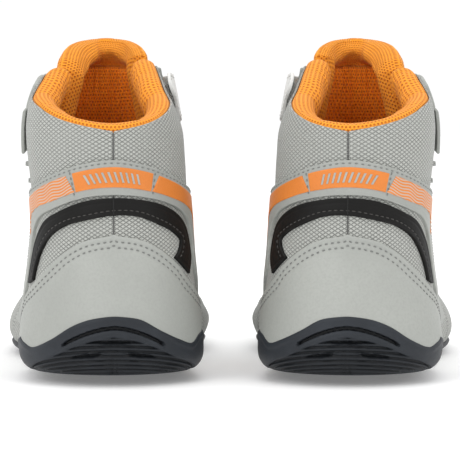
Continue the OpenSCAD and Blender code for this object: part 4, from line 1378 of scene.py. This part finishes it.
def loops():
    shapes = []
    for k in range(5):
        for w in (0.795, 1.205):
            h = 72 + 8.6 * k
            u = float(fold(w))
            n = skin_normal(u, h)
            up = np.cross(n, np.cross(np.array([0, 0, 1.0]), n))
            up /= np.linalg.norm(up)
            t = np.cross(up, n)
            p = at(np.array(w), np.array(h), np.array(OVERLAY_D + 0.05))
            half_w, high, r = 4.05, 4.75, 1.3
            path = []
            for cx, cy, a0 in ((half_w - r, high - r, 0), (-half_w + r, high - r, 90),
                               (-half_w + r, r, 180), (half_w - r, r, 270)):
                for q in np.linspace(0, 90, 6):
                    ang = math.radians(a0 + q)
                    path.append((cx + r * math.cos(ang), cy + r * math.sin(ang),
                                 math.cos(ang), math.sin(ang)))
            path = np.array(path)
            c = p + t * path[:, :1] + n * path[:, 1:2]
            out = t * path[:, 2:3] + n * path[:, 3:4]

            def ring(i, c=c, out=out, up=up):
                q = np.array([(-1.1, 0.2), (-0.9, 0.36), (0.9, 0.36), (1.1, 0.2), (1.1, -0.2),
                              (0.9, -0.36), (-0.9, -0.36), (-1.1, -0.2)])
                return c[i] + up * q[:, :1] + out[i] * q[:, 1:2]
            shapes.append(tube(c, 8, ring, 4.0, closed=True))
    return joined(shapes)


pair("webbing_loops", loops(), mat["webbing"], stands=["lace_loops"])

ROWS, TURN, LACE_D, EDGE_W, LOOP_W = 5, 3.0, OVERLAY_D + 0.4 + 0.7 + 1.7, 0.9, 0.795


def row_h(k):
    return 72 + 8.6 * k


def flip(p):
    return [2 - p[0], p[1], p[2]]


def lace_side(first):
    def turning(k):
        return [[2 - LOOP_W + 0.008, row_h(k) - TURN * 0.95, LACE_D],
                [2 - LOOP_W, row_h(k), LACE_D],
                [2 - LOOP_W - 0.008, row_h(k) + TURN * 0.95, LACE_D]]
    path = [[0.95, row_h(0) - TURN - 1, 1], [EDGE_W, row_h(0) - TURN - 1, 2],
            [0.83, row_h(0) - TURN, LACE_D]]
    path += [flip(p) for p in turning(0)]
    for k in range(ROWS - 1):
        over = (k % 2 == 0) == first
        h0, h1 = row_h(k) + TURN, row_h(k + 1) - TURN
        hop = [[0.83, h0, LACE_D], [EDGE_W, h0 + (h1 - h0) * 0.3, 3.2 if over else 1.8],
               [0.95, h0 + (h1 - h0) * 0.4, 2.8 if over else 0.6],
               [1, (h0 + h1) / 2, 2.6 if over else 0],
               [1.05, h0 + (h1 - h0) * 0.6, 2.8 if over else 0.6],
               [2 - EDGE_W, h0 + (h1 - h0) * 0.7, 3.2 if over else 1.8], [1.17, h1, LACE_D]]
        for p in hop + turning(k + 1):
            path.append(p if k % 2 == 0 else flip(p))
    for p in ([1.17, row_h(ROWS - 1) + TURN, LACE_D], [1.12, 110.2, 2.4], [1.07, 111.2, -0.1],
              [1.045, 115, -0.7], [1.04, 121, -0.7], [1.04, 128, -0.7]):
        path.append(p if ROWS % 2 == 0 else flip(p))
    return path


def lace_shape():
    right = lace_side(True)
    left = [flip(p) for p in lace_side(False)]
    route = np.array(left[::-1] + [[1, row_h(0) - TURN - 1, 0.6]] + right)
    k = np.arange(len(route))
    s = np.linspace(0, len(route) - 1, len(route) * 7)
    w, h, d = (curve(np.stack([k, route[:, i]], 1), s) for i in range(3))
    p = at(w, h, d)
    n0 = skin_normal(fold(w), h)
    for _ in range(3):
        n0[1:-1] = (n0[:-2] + 2 * n0[1:-1] + n0[2:]) / 4
    t = np.gradient(p, axis=0)
    t /= np.linalg.norm(t, axis=1, keepdims=True)
    b = np.cross(n0, t)
    b /= np.linalg.norm(b, axis=1, keepdims=True)
    n = np.cross(t, b)
    ang = np.arange(12) / 12 * 2 * math.pi
    ca, sa = np.cos(ang), np.sin(ang)
    sx = 1.5 * np.sign(ca) * np.abs(ca)**0.6
    sy = 0.75 * np.sign(sa) * np.abs(sa)**0.8

    def ring(i):
        return p[i] + b[i] * sx[:, None] + n[i] * sy[:, None]
    return tube(p, 12, ring, 8.0)


pair("lace_run", lace_shape(), mat["lace"], stands=["lace"], sharp=60)
pair("pocket", panel(0.9, 1.1, 113.5, 134.0, 50, 30, 0.7, stitched(1.6, (1.6,), 0.15), 0.4),
     mat["pocket"], stands=["lace_pocket"])
hh = np.linspace(115, 132.5, 60)
ww = np.linspace(0.905, 1.095, 60)
pair("pocket_stitches", joined([threads(0.912 + 0 * hh, hh, 1.5, 2.4, 1.5, 0.25),
                                threads(1.088 + 0 * hh, hh, 1.5, 2.4, 1.5, 0.25),
                                threads(ww, 115.1 + 0 * ww, 1.5, 2.4, 1.5, 0.25)]),
     mat["thread_light"])

# ------------------------------------------------------------------ ankle strap


def strap_edges(high):
    def run(s):
        a, b = np.stack(along(strap_low, s), -1), np.stack(along(strap_high, s), -1)
        # rounded corners at the free end
        pinch = 0.5 * (1 - np.sqrt(np.clip(1 - (np.clip((s - 0.955) / 0.045, 0, 1))**2, 0, 1))) \
            * 0.8
        k = 1 - pinch if high else pinch
        p = a + (b - a) * k[:, None]
        return p[:, 0], p[:, 1]
    return run


def strap_shape():
    cols, rows, rim = 170, 20, 0.5
    s = spaced(cols, 160, rim)[0]
    lw, lh = strap_edges(False)(s)
    hw, hh = strap_edges(True)(s)
    width = np.maximum(np.linalg.norm(at(hw, hh) - at(lw, lh), axis=-1), 0.3)
    t = spaced(rows, width, rim)
    w = lw[:, None] + (hw - lw)[:, None] * t
    h = lh[:, None] + (hh - lh)[:, None] * t
    dist = np.minimum(np.minimum(t, 1 - t) * width[:, None],
                      (np.minimum(s, 1 - s) * 160)[:, None])
    lift = curve(strap_lift, s)[:, None] + 0 * t
    k = np.minimum(dist, rim)
    drop = rim - np.sqrt(np.maximum(rim**2 - (rim - k)**2, 0))
    out = lift + 1.6 - drop - 0.2 * bump_at(dist, 2.0, 0.5)
    uv = np.stack([arc(w), h], -1) / 10
    return slab(at(w, h, out), at(w, h, lift + drop), uv, dist)


pair("strap", strap_shape(), mat["strap"], part="strap", stands=["ankle_strap"])


def strap_line(mm_in, from_low):
    s = np.linspace(0.03, 0.95, 400)
    lw, lh = strap_edges(False)(s)
    hw, hh = strap_edges(True)(s)
    width = np.linalg.norm(at(hw, hh) - at(lw, lh), axis=-1)
    k = mm_in / width if from_low else 1 - mm_in / width
    return lw + (hw - lw) * k, lh + (hh - lh) * k, curve(strap_lift, s) + 1.45


pair("strap_stitches", joined([threads(*strap_line(2.0, f), 2.7, 1.7, 0.28)
                               for f in (True, False)]), mat["thread_light"], part="strap")


def under_strap(off):
    return lambda w, h, dist: curve(strap_lift, np.interp(w, [1.26, 1.36, 1.44],
                                                          [0.75, 0.875, 1])) + off


pair("hook_patch_face", strip(patch_low, patch_high, 30, 14, under_strap(-0.9),
                              under_strap(0.2), 0.4), mat["hook"],
     part="strap", stands=["hook_patch"])
pair("loop_patch_face", strip(patch_low, patch_high, 30, 14, -0.05, 1.5, 0.5), mat["loop"],
     stands=["loop_patch"])
